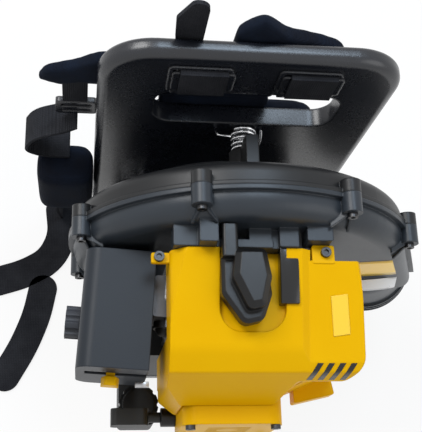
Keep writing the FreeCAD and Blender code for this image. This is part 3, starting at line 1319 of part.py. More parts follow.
def cover_body(inset):
    """The cover's outer volume: its side profile, front outline and plan, crossed."""
    low = CRANK_Z + COVER_BOTTOM - inset
    high = CRANK_Z + COVER_TOP_BACK - inset
    back = COVER_BACK + inset
    left = COVER_LEFT + inset
    right = COVER_RIGHT - inset
    nose = COVER_NOSE + inset
    front = COVER_FRONT + inset
    side = prism_x(cover_profile(inset), left, right)
    face = prism_y(((left, low, 0), (right, low, 0), (right, high, COVER_ROUND - inset),
                    (left + COVER_BEVEL, high, 8), (left, high - COVER_BEVEL, 8)), nose, back)
    plan = prism_z(((left, back, 0), (right - 3, back, COVER_ROUND - inset - 4),
                    (right, front, COVER_ROUND - inset - 4), (STEP_X - inset, front, 6),
                    (STEP_X - 14 - inset, nose, 8), (left + 15, nose, 5), (left, nose + 12, 5)),
                   low, high)
    return side.common(face).common(plan).cut(step_tool(inset)).cut(louvre_room(inset))


def louvre_room(inset):
    """The space under the lip at the right front, where the louvre wall is set back."""
    start = STEP_X - inset / 2
    return prism_z(((start, COVER_NOSE - 9, 0), (COVER_RIGHT + 9, COVER_NOSE - 9, 0),
                    (COVER_RIGHT + 9, COVER_FRONT + LOUVRE_DEPTH + inset, 0),
                    (start, COVER_FRONT + inset, 0)),
                   CRANK_Z + COVER_BOTTOM - 9, CRANK_Z + LOUVRE_BOTTOM + LOUVRE_HEIGHT + inset)


def louvre(index):
    """One slanted slot in the louvre wall."""
    run = COVER_RIGHT + 9 - STEP_X
    along = index * LOUVRE_PITCH + LOUVRE_X - STEP_X
    x = STEP_X + along
    y = COVER_FRONT + LOUVRE_DEPTH * along / run
    slot = block(x - LOUVRE_WIDTH / 2, x + LOUVRE_WIDTH / 2, y - 3, y + COVER_WALL * 2,
                 CRANK_Z + LOUVRE_BOTTOM - 4, CRANK_Z + LOUVRE_BOTTOM + LOUVRE_HEIGHT - 8)
    slot.rotate(slot.BoundBox.Center, Y, LOUVRE_SLANT)
    slot.rotate(slot.BoundBox.Center, Z, math.degrees(math.atan(LOUVRE_DEPTH / run)))
    return slot


def notch_prism(grow, low):
    """The notch in the top of the cover, open at the back."""
    left = NOTCH_LEFT - grow
    right = NOTCH_RIGHT + grow
    front = NOTCH_FRONT - grow
    return prism_z(((left, COVER_BACK + 20, 0), (right, COVER_BACK + 20, 0),
                    (right, front, NOTCH_CORNER + grow), (left, front, NOTCH_CORNER + grow)),
                   low, CRANK_Z + COVER_TOP_BACK + 1)


def engine_cover():
    shape = cover_body(0).cut(cover_body(COVER_WALL))
    tub = notch_prism(COVER_WALL, NOTCH_FLOOR).common(cover_body(0))
    plug_room = rod(PLUG_HEX_RADIUS + 3, point(0, CYLINDER_Y, CRANK_Z), Z, CRANK_Z)
    shape = joined([shape, tub]).cut(notch_prism(0, NOTCH_FLOOR + COVER_WALL)).cut(plug_room)
    wide = STARTER_REAR_HALF + JOINT_GAP * 3
    narrow = STARTER_FRONT_HALF + JOINT_GAP * 3
    step_y = STARTER_BACK_Y - STARTER_REAR_LENGTH - JOINT_GAP * 3
    shape = shape.cut(block(-wide, wide, step_y, COVER_FOLD + 30, CRANK_Z - wide, CRANK_Z + wide))
    shape = shape.cut(block(-narrow, narrow, COVER_NOSE - 9, step_y + 1, CRANK_Z - narrow,
                            CRANK_Z + narrow))
    shape = shape.cut(block(COVER_LEFT - 5, COVER_LEFT + COVER_ROUND, CYLINDER_Y - FILTER_FRONT / 2,
                            COVER_BACK + 1, CRANK_Z + COVER_BOTTOM - 5,
                            INTAKE_Z + CARB_HALF + SIDE_ROOM_RISE))
    shape = shape.cut(block(COVER_LEFT - 5, -narrow, COVER_NOSE - 9, step_y,
                            CRANK_Z + COVER_BOTTOM - 5, ROPE_Z + GUIDE_RADIUS + 8))
    shape = shape.cut(block(BACK_STEP_X, COVER_RIGHT + 9, COVER_BACK - BACK_STEP, COVER_BACK + 1,
                            CRANK_Z + COVER_BOTTOM - 5, CRANK_Z + COVER_TOP_BACK + 1))
    for index in range(LOUVRE_COUNT):
        shape = shape.cut(louvre(index))
    shape = joined([shape] + cover_ears() + [cover_lug()])
    for x, y, z in ear_holes():
        shape = shape.cut(rod(SCREW_RADIUS, point(x, y, z - 1), Z, EAR_THICK + 2))
    return shape


def cover_ears():
    """Screw tabs: one at the right of the back edge, one on the left side."""
    back = COVER_BACK - BACK_STEP
    ear_z = CRANK_Z + EAR_RISE
    left = RIGHT_EAR_X - EAR_WIDTH / 2
    right = RIGHT_EAR_X + EAR_WIDTH / 2
    right_ear = rounded(block(left, right, back - COVER_WALL, back + EAR_LENGTH, ear_z,
                              ear_z + EAR_THICK), Z, 2)
    left_ear = rounded(block(LEFT_EAR_X - EAR_WIDTH / 3, COVER_LEFT + COVER_WALL,
                             COVER_BACK - EAR_WIDTH / 2, COVER_BACK - 1, EAR_LOW_Z,
                             EAR_LOW_Z + EAR_THICK), Z, 1.5)
    return [right_ear, left_ear]


def cover_lug():
    """Exhaust lip under the louvre wall."""
    low = CRANK_Z + COVER_BOTTOM
    back = COVER_FRONT + LOUVRE_DEPTH * (LUG_RIGHT - STEP_X) / (COVER_RIGHT + 9 - STEP_X)
    return prism_z(((LUG_LEFT, LUG_FRONT, 2), (LUG_RIGHT, LUG_FRONT + LUG_SLANT, 2),
                    (LUG_RIGHT - 4, back + 1, 0), (LUG_LEFT, COVER_FRONT + LOUVRE_DEPTH / 3, 0)),
                   low, low + LUG_HEIGHT)


def ear_holes():
    return ((RIGHT_EAR_X + 2, COVER_BACK - BACK_STEP + EAR_LENGTH / 2, CRANK_Z + EAR_RISE),
            (LEFT_EAR_X, COVER_BACK - EAR_WIDTH / 4, EAR_LOW_Z))


def cover_screws():
    x, y, z = ear_holes()[0]
    first = screw(point(x, y, z + EAR_THICK), -Z, EAR_THICK + PILLAR_SCREW)
    x, y, z = ear_holes()[1]
    second = screw(point(x, y, z + EAR_THICK), -Z, EAR_THICK + 6)
    return [first, second]


# ---------------------------------------------------------------- fuel system
def tank_body(inset):
    """The tank's volume: a wide block under the engine and the arm that carries the filler."""
    main = rounded(block(TANK_LEFT + inset, TANK_RIGHT - inset, TANK_FRONT + inset,
                         TANK_BACK - inset, TANK_BOTTOM + inset, TANK_TOP - inset), Y,
                   TANK_ROUND - inset)
    left = ARM_LEFT + inset
    right = ARM_RIGHT - inset
    head = ARM_HEAD_RIGHT - inset
    arm = prism_z(((left, TANK_FRONT + TANK_ROUND, 0), (left, ARM_FRONT + inset, 5),
                   (head, ARM_FRONT + inset, 5), (head, ARM_HEAD_BACK - inset, 3),
                   (right, ARM_HEAD_BACK + 8 - inset, 3), (right, TANK_FRONT + TANK_ROUND, 0)),
                  ARM_BOTTOM + inset, TANK_TOP - inset)
    return joined([main, arm])


def fuel_tank():
    neck_base = point(NECK_X, NECK_Y, TANK_TOP - TANK_WALL)
    neck = rod(NECK_RADIUS, neck_base, Z, NECK_TOP - neck_base.z)
    bore = rod(NECK_RADIUS - TANK_WALL, neck_base - Z, Z, NECK_TOP - neck_base.z + 2)
    shape = joined([tank_body(0), neck]).cut(tank_body(TANK_WALL)).cut(bore)
    outlet = rod(FUEL_LINE_RADIUS, point(FUEL_LINE_X, FUEL_LINE_Y, TANK_TOP - 10), Z, 20)
    return shape.cut(outlet)


def fuel_cap():
    """Round cap with finger notches round its edge."""
    start = point(NECK_X, NECK_Y, NECK_TOP + JOINT_GAP - FUEL_CAP_SKIRT)
    body = rod(FUEL_CAP_RADIUS, start, Z, FUEL_CAP_HEIGHT - 6)
    crown = rod(FUEL_CAP_RADIUS - 4, start, Z, FUEL_CAP_HEIGHT)
    shape = joined([body, crown]).cut(rod(NECK_RADIUS + JOINT_GAP, start, Z, FUEL_CAP_SKIRT))
    for index in range(FUEL_CAP_NOTCHES):
        turn = 2 * math.pi * index / FUEL_CAP_NOTCHES
        offset = point(math.cos(turn), math.sin(turn), 0) * (FUEL_CAP_RADIUS + 1)
        shape = shape.cut(rod(2.5, start + offset, Z, FUEL_CAP_HEIGHT))
    return shape


def tank_mounts():
    """Rubber buffers between the tank and the fan housing."""
    buffers = []
    for x in (-TANK_MOUNT_X, TANK_MOUNT_X):
        buffers.append(rod(9, point(x, TANK_BACK, TANK_MOUNT_Z), Y, HOUSING_FRONT_Y - TANK_BACK))
    return Part.makeCompound(buffers)


def fuel_line():
    """Hose from the tank's grommet up to the nipple under the carburettor."""
    nipple = turned(Part.Vertex(carb_middle(), CYLINDER_Y + 8, INTAKE_Z - CARB_HALF - 12)).Point
    start = point(FUEL_LINE_X, FUEL_LINE_Y, TANK_TOP - 6)
    route = [start, start + Z * 30, point(FUEL_LINE_X - 5, FUEL_LINE_Y + 4, start.z + 56),
             point(nipple.x, nipple.y, nipple.z - 26), nipple]
    return cord("fuel_line", route, FUEL_LINE_RADIUS)


# ---------------------------------------------------------------- back frame and springs
def back_frame():
    left = PLATE_X - PLATE_HALF_WIDTH
    right = PLATE_X + PLATE_HALF_WIDTH
    top = CRANK_Z + PLATE_TOP
    outline = ((left, FOOT_BUTTON_HEIGHT, 20), (right, FOOT_BUTTON_HEIGHT, 20),
               (right, top, PLATE_CORNER), (left, top, PLATE_CORNER))
    plate = prism_y(outline, PLATE_FRONT, PLATE_BACK)
    plate = plate.makeFillet(PLATE_FRONT_ROUND, edges_at(plate, PLATE_FRONT))
    plate = plate.makeFillet(PLATE_BACK_ROUND, edges_at(plate, PLATE_BACK))
    handle = prism_y(((HANDLE_X - HANDLE_HALF, CRANK_Z + HANDLE_LOW, HANDLE_CORNER),
                      (HANDLE_X + HANDLE_HALF, CRANK_Z + HANDLE_LOW, HANDLE_CORNER),
                      (HANDLE_X + HANDLE_HALF, CRANK_Z + HANDLE_HIGH, HANDLE_CORNER),
                      (HANDLE_X - HANDLE_HALF, CRANK_Z + HANDLE_HIGH, HANDLE_CORNER)),
                     PLATE_FRONT - 1, PLATE_BACK + 1)
    plate = plate.cut(handle)
    for x in window_places():
        plate = plate.cut(block(x - WINDOW_HALF_WIDTH, x + WINDOW_HALF_WIDTH, PLATE_FRONT - 1,
                                PLATE_BACK + 1, WINDOW_Z - WINDOW_HALF_HEIGHT,
                                WINDOW_Z + WINDOW_HALF_HEIGHT))
    foot_left = PLATE_X - FOOT_HALF_WIDTH
    foot_right = PLATE_X + FOOT_HALF_WIDTH
    foot = prism_z(((foot_left, PLATE_FRONT + 10, 0), (foot_right, PLATE_FRONT + 10, 0),
                    (foot_right, FOOT_FRONT, FOOT_CORNER), (foot_left, FOOT_FRONT, FOOT_CORNER)),
                   FOOT_BUTTON_HEIGHT, FOOT_BUTTON_HEIGHT + FOOT_THICK)
    top_rim = [e for e in foot.Edges if e.BoundBox.ZMin > FOOT_BUTTON_HEIGHT + FOOT_THICK - 0.01
               and e.BoundBox.YMin < PLATE_FRONT + 9]
    foot = foot.makeFillet(5, top_rim)
    pieces = [plate, foot]
    for x in (foot_left + 6, foot_right - 14):
        floor = FOOT_BUTTON_HEIGHT + FOOT_THICK - 1
        pieces.append(prism_x(((PLATE_FRONT + 1, floor, 0), (PLATE_FRONT + 1, floor + 70, 0),
                               (PLATE_FRONT - 3, floor + 70, 0), (PLATE_FRONT - 36, floor, 0)),
                              x, x + 8))
    for x, z, seat_y in spring_places():
        pieces.append(rod(SEAT_PIN_RADIUS, point(x, PLATE_FRONT + 1, z), -Y,
                          SEAT_PIN_LENGTH / 2 + 1))
    return joined(pieces)


def window_places():
    return (HANDLE_X - WINDOW_SPACING / 2, HANDLE_X + WINDOW_SPACING / 2)


def rubber_feet():
    feet = []
    reach = FOOT_HALF_WIDTH - FOOT_BUTTON_RADIUS - 6
    for x in (PLATE_X - reach, PLATE_X + reach):
        for y in (FOOT_FRONT + FOOT_BUTTON_RADIUS + 8, PLATE_BACK - FOOT_BUTTON_RADIUS - 4):
            feet.append(rod(FOOT_BUTTON_RADIUS, point(x, y, 0), Z, FOOT_BUTTON_HEIGHT))
    return Part.makeCompound(feet)


def isolator_spring(place):
    """Open coil of short straight runs, standing between its two seats."""
    x, z, seat_y = place
    length = PLATE_FRONT - seat_y - 2 * (SPRING_WIRE + SPRING_GAP)
    start = point(x, seat_y + SPRING_WIRE + SPRING_GAP, z)
    count = int(SPRING_TURNS * SPRING_RUNS)
    route = []
    for index in range(count + 1):
        turn = 2 * math.pi * index / SPRING_RUNS
        route.append(start + point(SPRING_RADIUS * math.cos(turn), length * index / count,
                                   SPRING_RADIUS * math.sin(turn)))
    section = Part.Wire(Part.makeCircle(SPRING_WIRE, route[0], route[1] - route[0]))
    return Part.makePolygon(route).makePipeShell([section], True, False, 1)


# ---------------------------------------------------------------- harness
def strap_bar(x):
    """Flat bar that the strap wraps, lying across the window's front."""
    half = WINDOW_HALF_WIDTH + BAR_OVERLAP
    bar = block(x - half, x + half, PLATE_FRONT - JOINT_GAP - BAR_THICK, PLATE_FRONT - JOINT_GAP,
                WINDOW_Z - BAR_HALF_HEIGHT, WINDOW_Z + BAR_HALF_HEIGHT)
    return rounded(bar, Y, 3)


def anchor_webbing(x):
    """Webbing that comes through the window, wraps the bar and goes back."""
    front = PLATE_FRONT - 2 * JOINT_GAP - BAR_THICK - WEBBING
    reach = BAR_HALF_HEIGHT + JOINT_GAP
    back = PLATE_BACK
    half = WEBBING_WIDTH / 2
    low = WINDOW_Z - reach
    high = WINDOW_Z + reach
    front_wall = block(x - half, x + half, front, front + WEBBING, low - WEBBING, high + WEBBING)
    top = block(x - half, x + half, front, back, high, high + WEBBING)
    bottom = block(x - half, x + half, front, back, low - WEBBING, low)
    return joined([front_wall, top, bottom])


def shoulder_pad_left():
    """Padded strap lying flat behind the handle, its end standing out on the left."""
    outline = ((42, CRANK_Z + 84, 12), (42, CRANK_Z + 128, 12), (-70, CRANK_Z + 138, 30),
               (-150, CRANK_Z + 178, 20), (-184, CRANK_Z + 140, 20), (-176, CRANK_Z + 74, 16),
               (-130, CRANK_Z + 66, 20), (-80, CRANK_Z + 80, 30))
    start = PLATE_BACK + JOINT_GAP
    return prism_y(outline, start, start + PAD_THICK)


def shoulder_pad_right():
    """Padded strap folded up behind the top edge of the plate."""
    outline = ((-14, CRANK_Z + 142, 8), (88, CRANK_Z + 142, 8), (92, CRANK_Z + 182, 12),
               (34, CRANK_Z + 196, 16), (10, CRANK_Z + 222, 6), (-12, CRANK_Z + 200, 12))
    start = PLATE_BACK + JOINT_GAP
    return prism_y(outline, start, start + PAD_THICK)


def lift_strap():
    """Webbing tongue that stands up above the plate, from the left strap's top end."""
    outline = ((-64, CRANK_Z + 188, 2), (-40, CRANK_Z + 188, 2), (-40, CRANK_Z + 244, 10),
               (-54, CRANK_Z + 244, 6), (-66, CRANK_Z + 220, 10))
    start = PLATE_BACK + JOINT_GAP
    return prism_y(outline, start, start + 4)


def back_cushion():
    """Pad between the plate and the wearer's back, below the handle."""
    start = PLATE_BACK + JOINT_GAP
    outline = ((PLATE_X - 96, CRANK_Z - 150, 30), (PLATE_X + 96, CRANK_Z - 150, 30),
               (PLATE_X + 84, CRANK_Z + 62, 30), (PLATE_X - 84, CRANK_Z + 62, 30))
    return prism_y(outline, start, start + CUSHION_THICK)


def waist_pad():
    """Rolled hip pad hanging beside the plate's left edge."""
    left = PLATE_X - PLATE_HALF_WIDTH - 60
    right = PLATE_X - PLATE_HALF_WIDTH - JOINT_GAP
    return soft_pad(left, right, PLATE_FRONT - 26, PLATE_FRONT + 20,
                    WAIST_PAD_TOP - WAIST_PAD_HEIGHT, WAIST_PAD_TOP)


def soft_pad(x0, x1, y0, y1, z0, z1):
    return rounded(block(x0, x1, y0, y1, z0, z1), Z, 14)


def hanging_webbing():
    """Webbing from the left shoulder pad out, down and back to the hip pad."""
    end_z = WAIST_PAD_TOP + WEBBING / 2 + JOINT_GAP
    route = [point(-148, HANG_Y, CRANK_Z + 39), point(-160, HANG_Y, CRANK_Z + 28),
             point(-190, HANG_Y, CRANK_Z + 12), point(-202, HANG_Y, CRANK_Z - 18),
             point(-182, HANG_Y, end_z), point(-156, HANG_Y, end_z)]
    return band(route, WEBBING, Y, HANG_WIDTH)


def dropping_webbing():
    """Webbing from the hip pad down to the ground."""
    route = [point(-166, HANG_Y, WAIST_PAD_TOP - WAIST_PAD_HEIGHT - WEBBING / 2 - JOINT_GAP),
             point(-160, HANG_Y, CRANK_Z - 150), point(-172, HANG_Y, CRANK_Z - 190),
             point(-166, HANG_Y, WEBBING * 1.5 + JOINT_GAP)]
    return band(route, WEBBING, Y, HANG_WIDTH)


def ground_band(route, width, lift):
    """A strap lying flat on the ground along a route in X and Y."""
    wire = path_wire([point(x, y, lift) for x, y in route])
    outline = wire.makeOffset2D(width / 2, 1, False, False)
    return Part.Face(outline).extrude(Z * WEBBING)


def waist_belt():
    return ground_band(((-168, 118), (-164, 84), (-178, 52), (-208, 34), (-240, 24)), 36, 0)


def loose_strap():
    return ground_band(((-186, 15), (-192, -18), (-206, -56), (-226, -92)), 34, 0)


def ladder_lock():
    """Strap adjuster at the free end of the left shoulder pad."""
    start = PLATE_BACK + JOINT_GAP
    frame = rounded(block(-168, -128, start, start + 6, CRANK_Z + 41, CRANK_Z + 65), Y, 4)
    for low in (45, 55):
        frame = frame.cut(block(-162, -134, start - 1, start + 7, CRANK_Z + low,
                                CRANK_Z + low + 5))
    return frame


def build():
    os.makedirs("parts", exist_ok=True)
    nodes = {
        "fan_housing_front": fan_housing_front(),
        "fan_housing_rear": fan_housing_rear(),
        "intake_grille": intake_grille(),
        "impeller": impeller(),
        "housing_screws": housing_screws(),
        "crankcase_rear": crankcase_half(True),
        "crankcase_front": crankcase_half(False),
        "crankshaft": crankshaft(),
        "impeller_nut": impeller_nut(),
        "crank_bearings": crank_bearings(),
        "crank_seals": crank_seals(),
        "piston": piston(),
        "piston_rings": piston_rings(),
        "connecting_rod": connecting_rod(),
        "rod_pins": Part.makeCompound([piston_pin(), crank_pin()]),
        "cylinder": cylinder(),
        "spark_plug": spark_plug(),
        "plug_cap": plug_cap(),
        "plug_lead": plug_lead(),
        "ignition_coil": ignition_coil(),
        "flywheel": flywheel(),
        "starter_pawls": starter_pawls(),
        "starter_housing": starter_housing(),
        "engine_screws": Part.makeCompound(cylinder_screws() + starter_screws() + cover_screws()),
        "starter_pulley": starter_pulley(),
        "rope_coil": rope_coil(),
        "recoil_spring": recoil_spring(),
        "rope_guide": rope_guide(),
        "starter_grip": starter_grip(),
        "starter_rope": starter_rope(),
        "insulator": insulator(),
        "carburettor": carburettor(),
        "throttle_lever": throttle_lever(),
        "primer_bulb": primer_bulb(),
        "filter_base": filter_base(),
        "choke_pin": choke_pin(),
        "choke_lever": choke_lever(),
        "filter_element": filter_element(),
        "filter_cover": filter_cover(),
        "filter_knob": filter_knob(),
        "muffler_gasket": muffler_gasket(),
        "muffler": muffler(),
        "engine_cover": engine_cover(),
        "fuel_tank": fuel_tank(),
        "fuel_cap": fuel_cap(),
        "fuel_line": fuel_line(),
        "tank_mounts": tank_mounts(),
        "back_frame": back_frame(),
        "rubber_feet": rubber_feet(),
        "isolator_springs": Part.makeCompound([isolator_spring(p) for p in spring_places()]),
        "back_cushion": back_cushion(),
        "shoulder_pad_left": shoulder_pad_left(),
        "shoulder_pad_right": shoulder_pad_right(),
        "lift_strap": lift_strap(),
        "strap_bars": Part.makeCompound([strap_bar(x) for x in window_places()]),
        "anchor_webbing": Part.makeCompound([anchor_webbing(x) for x in window_places()]),
        "ladder_lock": ladder_lock(),
        "waist_pad": waist_pad(),
        "waist_webbing": Part.makeCompound([hanging_webbing(), dropping_webbing()]),
        "ground_straps": Part.makeCompound([waist_belt(), loose_strap()]),
    }
    shift = footprint_shift(nodes.values())
    print("moved by", round(shift.x, 3), round(shift.y, 3))
    for name, shape in nodes.items():
        if not shape.isValid() or len(shape.Solids) != 1:
            print(name, shape.isValid(), len(shape.Solids), round(shape.Volume))
        shape.translate(shift)
        shape.exportStep("parts/" + name + ".step")
    return nodes, shift


def footprint_shift(shapes):
    """The move that puts the middle of the whole machine's footprint at the origin."""
    total = FreeCAD.BoundBox()
    for shape in shapes:
        total.add(shape.optimalBoundingBox(False))
    return point(-total.Center.x, -total.Center.y, 0)


build()
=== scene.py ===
# %% [markdown]
# # A backpack leaf blower, finished and lit
# The machine's solids come from a imported CAD model.  This script keeps every one of them where
# it is, gives each a finish, and models what a solid cannot show well: padding, coils, a rope,
# window mouldings, hooks and labels.  Everything is in metres in the machine's own frame.

# %% Load the imported model
import json
import math

import bmesh
import bpy
from mathutils import Matrix, Vector
from mathutils.bvhtree import BVHTree


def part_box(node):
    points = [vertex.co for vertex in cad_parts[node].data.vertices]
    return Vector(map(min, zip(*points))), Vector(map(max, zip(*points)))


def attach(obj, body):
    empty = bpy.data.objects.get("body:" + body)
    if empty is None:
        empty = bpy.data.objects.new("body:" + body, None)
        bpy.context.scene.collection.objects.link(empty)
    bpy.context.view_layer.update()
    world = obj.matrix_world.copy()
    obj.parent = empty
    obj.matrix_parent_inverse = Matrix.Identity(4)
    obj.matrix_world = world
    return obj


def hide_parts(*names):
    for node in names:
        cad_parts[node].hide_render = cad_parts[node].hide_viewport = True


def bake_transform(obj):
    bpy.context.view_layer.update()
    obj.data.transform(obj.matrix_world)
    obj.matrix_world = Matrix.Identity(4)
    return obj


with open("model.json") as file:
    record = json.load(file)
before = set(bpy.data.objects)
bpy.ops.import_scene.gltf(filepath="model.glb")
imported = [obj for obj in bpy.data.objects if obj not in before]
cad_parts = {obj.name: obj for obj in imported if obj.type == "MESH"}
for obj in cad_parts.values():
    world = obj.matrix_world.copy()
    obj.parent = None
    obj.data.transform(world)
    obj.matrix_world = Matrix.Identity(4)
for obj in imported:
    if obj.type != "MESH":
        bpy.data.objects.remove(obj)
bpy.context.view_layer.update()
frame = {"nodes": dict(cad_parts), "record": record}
nodes = frame["nodes"]

# %% [markdown]
# ## Where the shaft is
# The machine was drawn around its crankshaft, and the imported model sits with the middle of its
# footprint at the origin.  The middle of the bearing rings is therefore the shaft, and every
# piece below is placed from it.  `at(x, y, z)` takes millimetres: x and y from the shaft and the
# joint of the fan housing, z from the ground.

# %% Place pieces from the shaft
bearing_low, bearing_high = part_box("crank_bearings")
SHAFT = (bearing_low + bearing_high) / 2
CYLINDER_Y = -78
CRANK_Z = round(1000 * SHAFT.z, 3)
JOINT = Vector((SHAFT.x, SHAFT.y - CYLINDER_Y / 1000, 0))


def at(x, y, z):
    """The point that is so many millimetres from the shaft, the joint plane and the ground."""
    return JOINT + Vector((x, y, z)) / 1000


print("shaft at", [round(1000 * c, 2) for c in SHAFT], "joint plane at", round(1000 * JOINT.y, 2))

# %% [markdown]
# ## Shader maths as plain expressions
# A node tree is easier to read as arithmetic.  `Wire` holds one output socket.  Adding or
# multiplying two wires, or a wire and a number, makes the Math node for it.  Every other node
# comes from `Shading.node`, which takes the node's type, its settings and its inputs, so the floor
# and the sky are written in the same way as the finishes.

# %% Wires and node trees
class Wire:
    """One shader output that can be used in arithmetic."""

    def __init__(self, shading, socket):
        self.shading, self.socket = shading, socket

    def maths(self, operation, first, second):
        return self.shading.node("ShaderNodeMath", {"operation": operation},
                                 {0: first, 1: second})

    def __add__(self, other):
        return self.maths("ADD", self, other)

    def __radd__(self, other):
        return self.maths("ADD", other, self)

    def __sub__(self, other):
        return self.maths("SUBTRACT", self, other)

    def __rsub__(self, other):
        return self.maths("SUBTRACT", other, self)

    def __mul__(self, other):
        return self.maths("MULTIPLY", self, other)

    def __rmul__(self, other):
        return self.maths("MULTIPLY", other, self)


class Shading:
    """A node tree, with the one method that adds nodes to it."""

    def __init__(self, tree):
        self.tree = tree

    def node(self, kind, settings=None, inputs=None, output=0):
        made = self.tree.nodes.new(kind)
        for key, value in (settings or {}).items():
            setattr(made, key, value)
        for key, value in (inputs or {}).items():
            if isinstance(value, Wire):
                self.tree.links.new(value.socket, made.inputs[key])
            else:
                made.inputs[key].default_value = value
        return Wire(self, made.outputs[output])


print("wires can be added, subtracted and multiplied")

# %% [markdown]
# ## A finish
# Each finish is one Principled shader.  Its patterns read Object coordinates, which stay with
# the piece when a joint moves it.  The helpers below are the few things that a worn surface
# needs: a cloudy noise, a blend of two colours, a value stretched to a mask, rounded edges and a
# bump.

# %% Finish
class Finish(Shading):
    """One material, built around a Principled shader."""

    def __init__(self, name, **constants):
        self.material = bpy.data.materials.new(name)
        self.material.use_nodes = True
        super().__init__(self.material.node_tree)
        self.shader = self.tree.nodes["Principled BSDF"]
        for socket, value in constants.items():
            self.shader.inputs[socket.replace("_", " ")].default_value = value

    def place(self):
        return self.node("ShaderNodeTexCoord", output="Object")

    def noise(self, scale, detail, rough):
        return self.node("ShaderNodeTexNoise", None,
                         {"Vector": self.place(), "Scale": scale, "Detail": detail,
                          "Roughness": rough}, output="Fac")

    def mix(self, factor, first, second):
        """Blend two colours; each is a wire or (r, g, b)."""
        colours = [c if isinstance(c, Wire) else (*c, 1) for c in (first, second)]
        return self.node("ShaderNodeMix", {"data_type": "RGBA"},
                         {0: factor, 6: colours[0], 7: colours[1]}, output=2)

    def steps(self, value, low, high):
        """Stretch a value so that low becomes 0 and high becomes 1."""
        return self.node("ShaderNodeMapRange", None,
                         {"Value": value, "From Min": low, "From Max": high})

    def rounded(self, radius, samples):
        """The normal of a surface whose sharp edges look rounded by radius."""
        return self.node("ShaderNodeBevel", {"samples": samples}, {"Radius": radius})

    def bump(self, height, strength, distance, normal):
        return self.node("ShaderNodeBump", None, {"Height": height, "Strength": strength,
                                                  "Distance": distance, "Normal": normal})

    def feed(self, socket, wire):
        self.tree.links.new(wire.socket, self.shader.inputs[socket])


print("finish helpers ready")

# %% [markdown]
# ## Moulded plastic
# A moulded shell is never one flat colour.  Its gloss wanders over a hand's breadth, a fine
# texture from the tool breaks the highlight, and it carries a few scuffs.  The Bevel node rounds
# the light on edges that the solid leaves sharp, which is what the eye reads as a real moulding.

# %% Plastics
def moulded(name, colour, worn, rough, grain=0.12, edge=0.0012, mottle=0.25, coat=0.0,
            shine=0.35):
    """Plastic: colour, the colour of its scuffs, roughness, grain depth and edge radius."""
    finish = Finish(name, Coat_Weight=coat, Coat_Roughness=0.12, Specular_IOR_Level=shine)
    cloud = finish.noise(14, 4, 0.6)
    fine = finish.noise(520, 2, 0.6)
    scuff = finish.steps(finish.noise(90, 6, 0.75), 0.62, 0.72)
    tint = finish.mix(cloud * mottle, colour, worn)
    finish.feed("Base Color", finish.mix(scuff * (0.35 * mottle), tint, worn))
    finish.feed("Roughness", rough + 0.14 * (cloud - 0.5) + 0.10 * scuff + 0.08 * (fine - 0.5))
    finish.feed("Normal", finish.bump(fine + 1.5 * cloud, grain, 0.0004,
                                      finish.rounded(edge, 6)))
    return finish.material


FRAME_BLACK = moulded("frame_black", (0.0062, 0.0072, 0.0105), (0.020, 0.025, 0.038), 0.27,
                      edge=0.003, shine=0.6)
SHELL_BLACK = moulded("shell_black", (0.0075, 0.0078, 0.0085), (0.03, 0.031, 0.034), 0.40,
                      edge=0.0018)
# Painted sheen: a lighter, bluer copy of the housing's black, with bluish patches, for the lit
# face.
FACE_BLACK_PAINTED_SHEEN = moulded("face_black_painted_sheen", (0.015, 0.019, 0.024), (0.050, 0.062, 0.078), 0.36,
                     edge=0.0015, mottle=0.5)
COVER_YELLOW = moulded("cover_yellow", (0.76, 0.395, 0.0003), (0.86, 0.53, 0.002), 0.36,
                       grain=0.10, edge=0.0018, mottle=0.5, shine=0.06)
FILTER_GREY = moulded("filter_grey", (0.018, 0.022, 0.028), (0.036, 0.043, 0.054), 0.42,
                      edge=0.0015, shine=0.22)
KNOB_GREY = moulded("knob_grey", (0.035, 0.038, 0.046), (0.07, 0.075, 0.09), 0.45)
CAP_BLACK = moulded("cap_black", (0.006, 0.006, 0.0062), (0.014, 0.014, 0.0145), 0.30,
                    grain=0.05, edge=0.0015, shine=0.30)
TANK_BLACK = moulded("tank_black", (0.01, 0.0105, 0.011), (0.03, 0.031, 0.033), 0.48)
GRIP_RUBBER = moulded("grip_rubber", (0.011, 0.011, 0.010), (0.03, 0.03, 0.028), 0.50,
                      grain=0.25)
print("moulded plastics ready, among", len(bpy.data.materials), "materials")

# %% [markdown]
# ## Metal
# Machined and plated parts differ mostly in roughness.  Castings get a sandy bump, wire gets
# a finer one, and the heat-proof paint of the silencer turns brown in patches.

# %% Metals
def metal(name, colour, rough, grain_scale=400, grain=0.15, dirt=(0.05, 0.045, 0.04), dirty=0.3):
    """Metal: colour, roughness, the size and depth of its grain, and the colour of its stains."""
    finish = Finish(name, Metallic=1.0)
    fine = finish.noise(grain_scale, 3, 0.6)
    stain = finish.steps(finish.noise(60, 5, 0.7), 0.52, 0.70)
    finish.feed("Base Color", finish.mix(stain * dirty, colour, dirt))
    finish.feed("Roughness", rough + 0.18 * (fine - 0.5) + 0.2 * stain)
    finish.feed("Normal", finish.bump(fine, grain, 0.0003, finish.rounded(0.0006, 4)))
    return finish.material


CAST_ALLOY = metal("cast_alloy", (0.42, 0.43, 0.44), 0.45, 500, 0.4)
STEEL = metal("steel", (0.45, 0.45, 0.46), 0.30)
SCREW_BLACK = metal("screw_black", (0.06, 0.06, 0.062), 0.35)
SPRING_WIRE = metal("spring_wire", (0.78, 0.79, 0.81), 0.16, 900, 0.05, dirty=0.1)
EXHAUST = metal("exhaust", (0.10, 0.09, 0.085), 0.55, 300, 0.3, (0.12, 0.07, 0.04), 0.6)
print("metals:", ", ".join(m.name for m in (CAST_ALLOY, STEEL, SCREW_BLACK, SPRING_WIRE, EXHAUST)))

# %% [markdown]
# ## Cloth and webbing
# The pads are a dark navy weave, the straps a ribbed black tape and the starter rope a pale
# braid.  Each is woven from three crossing waves on Object coordinates, because the pieces lie in
# several planes, and is faded in broad patches where the cloth has rubbed.

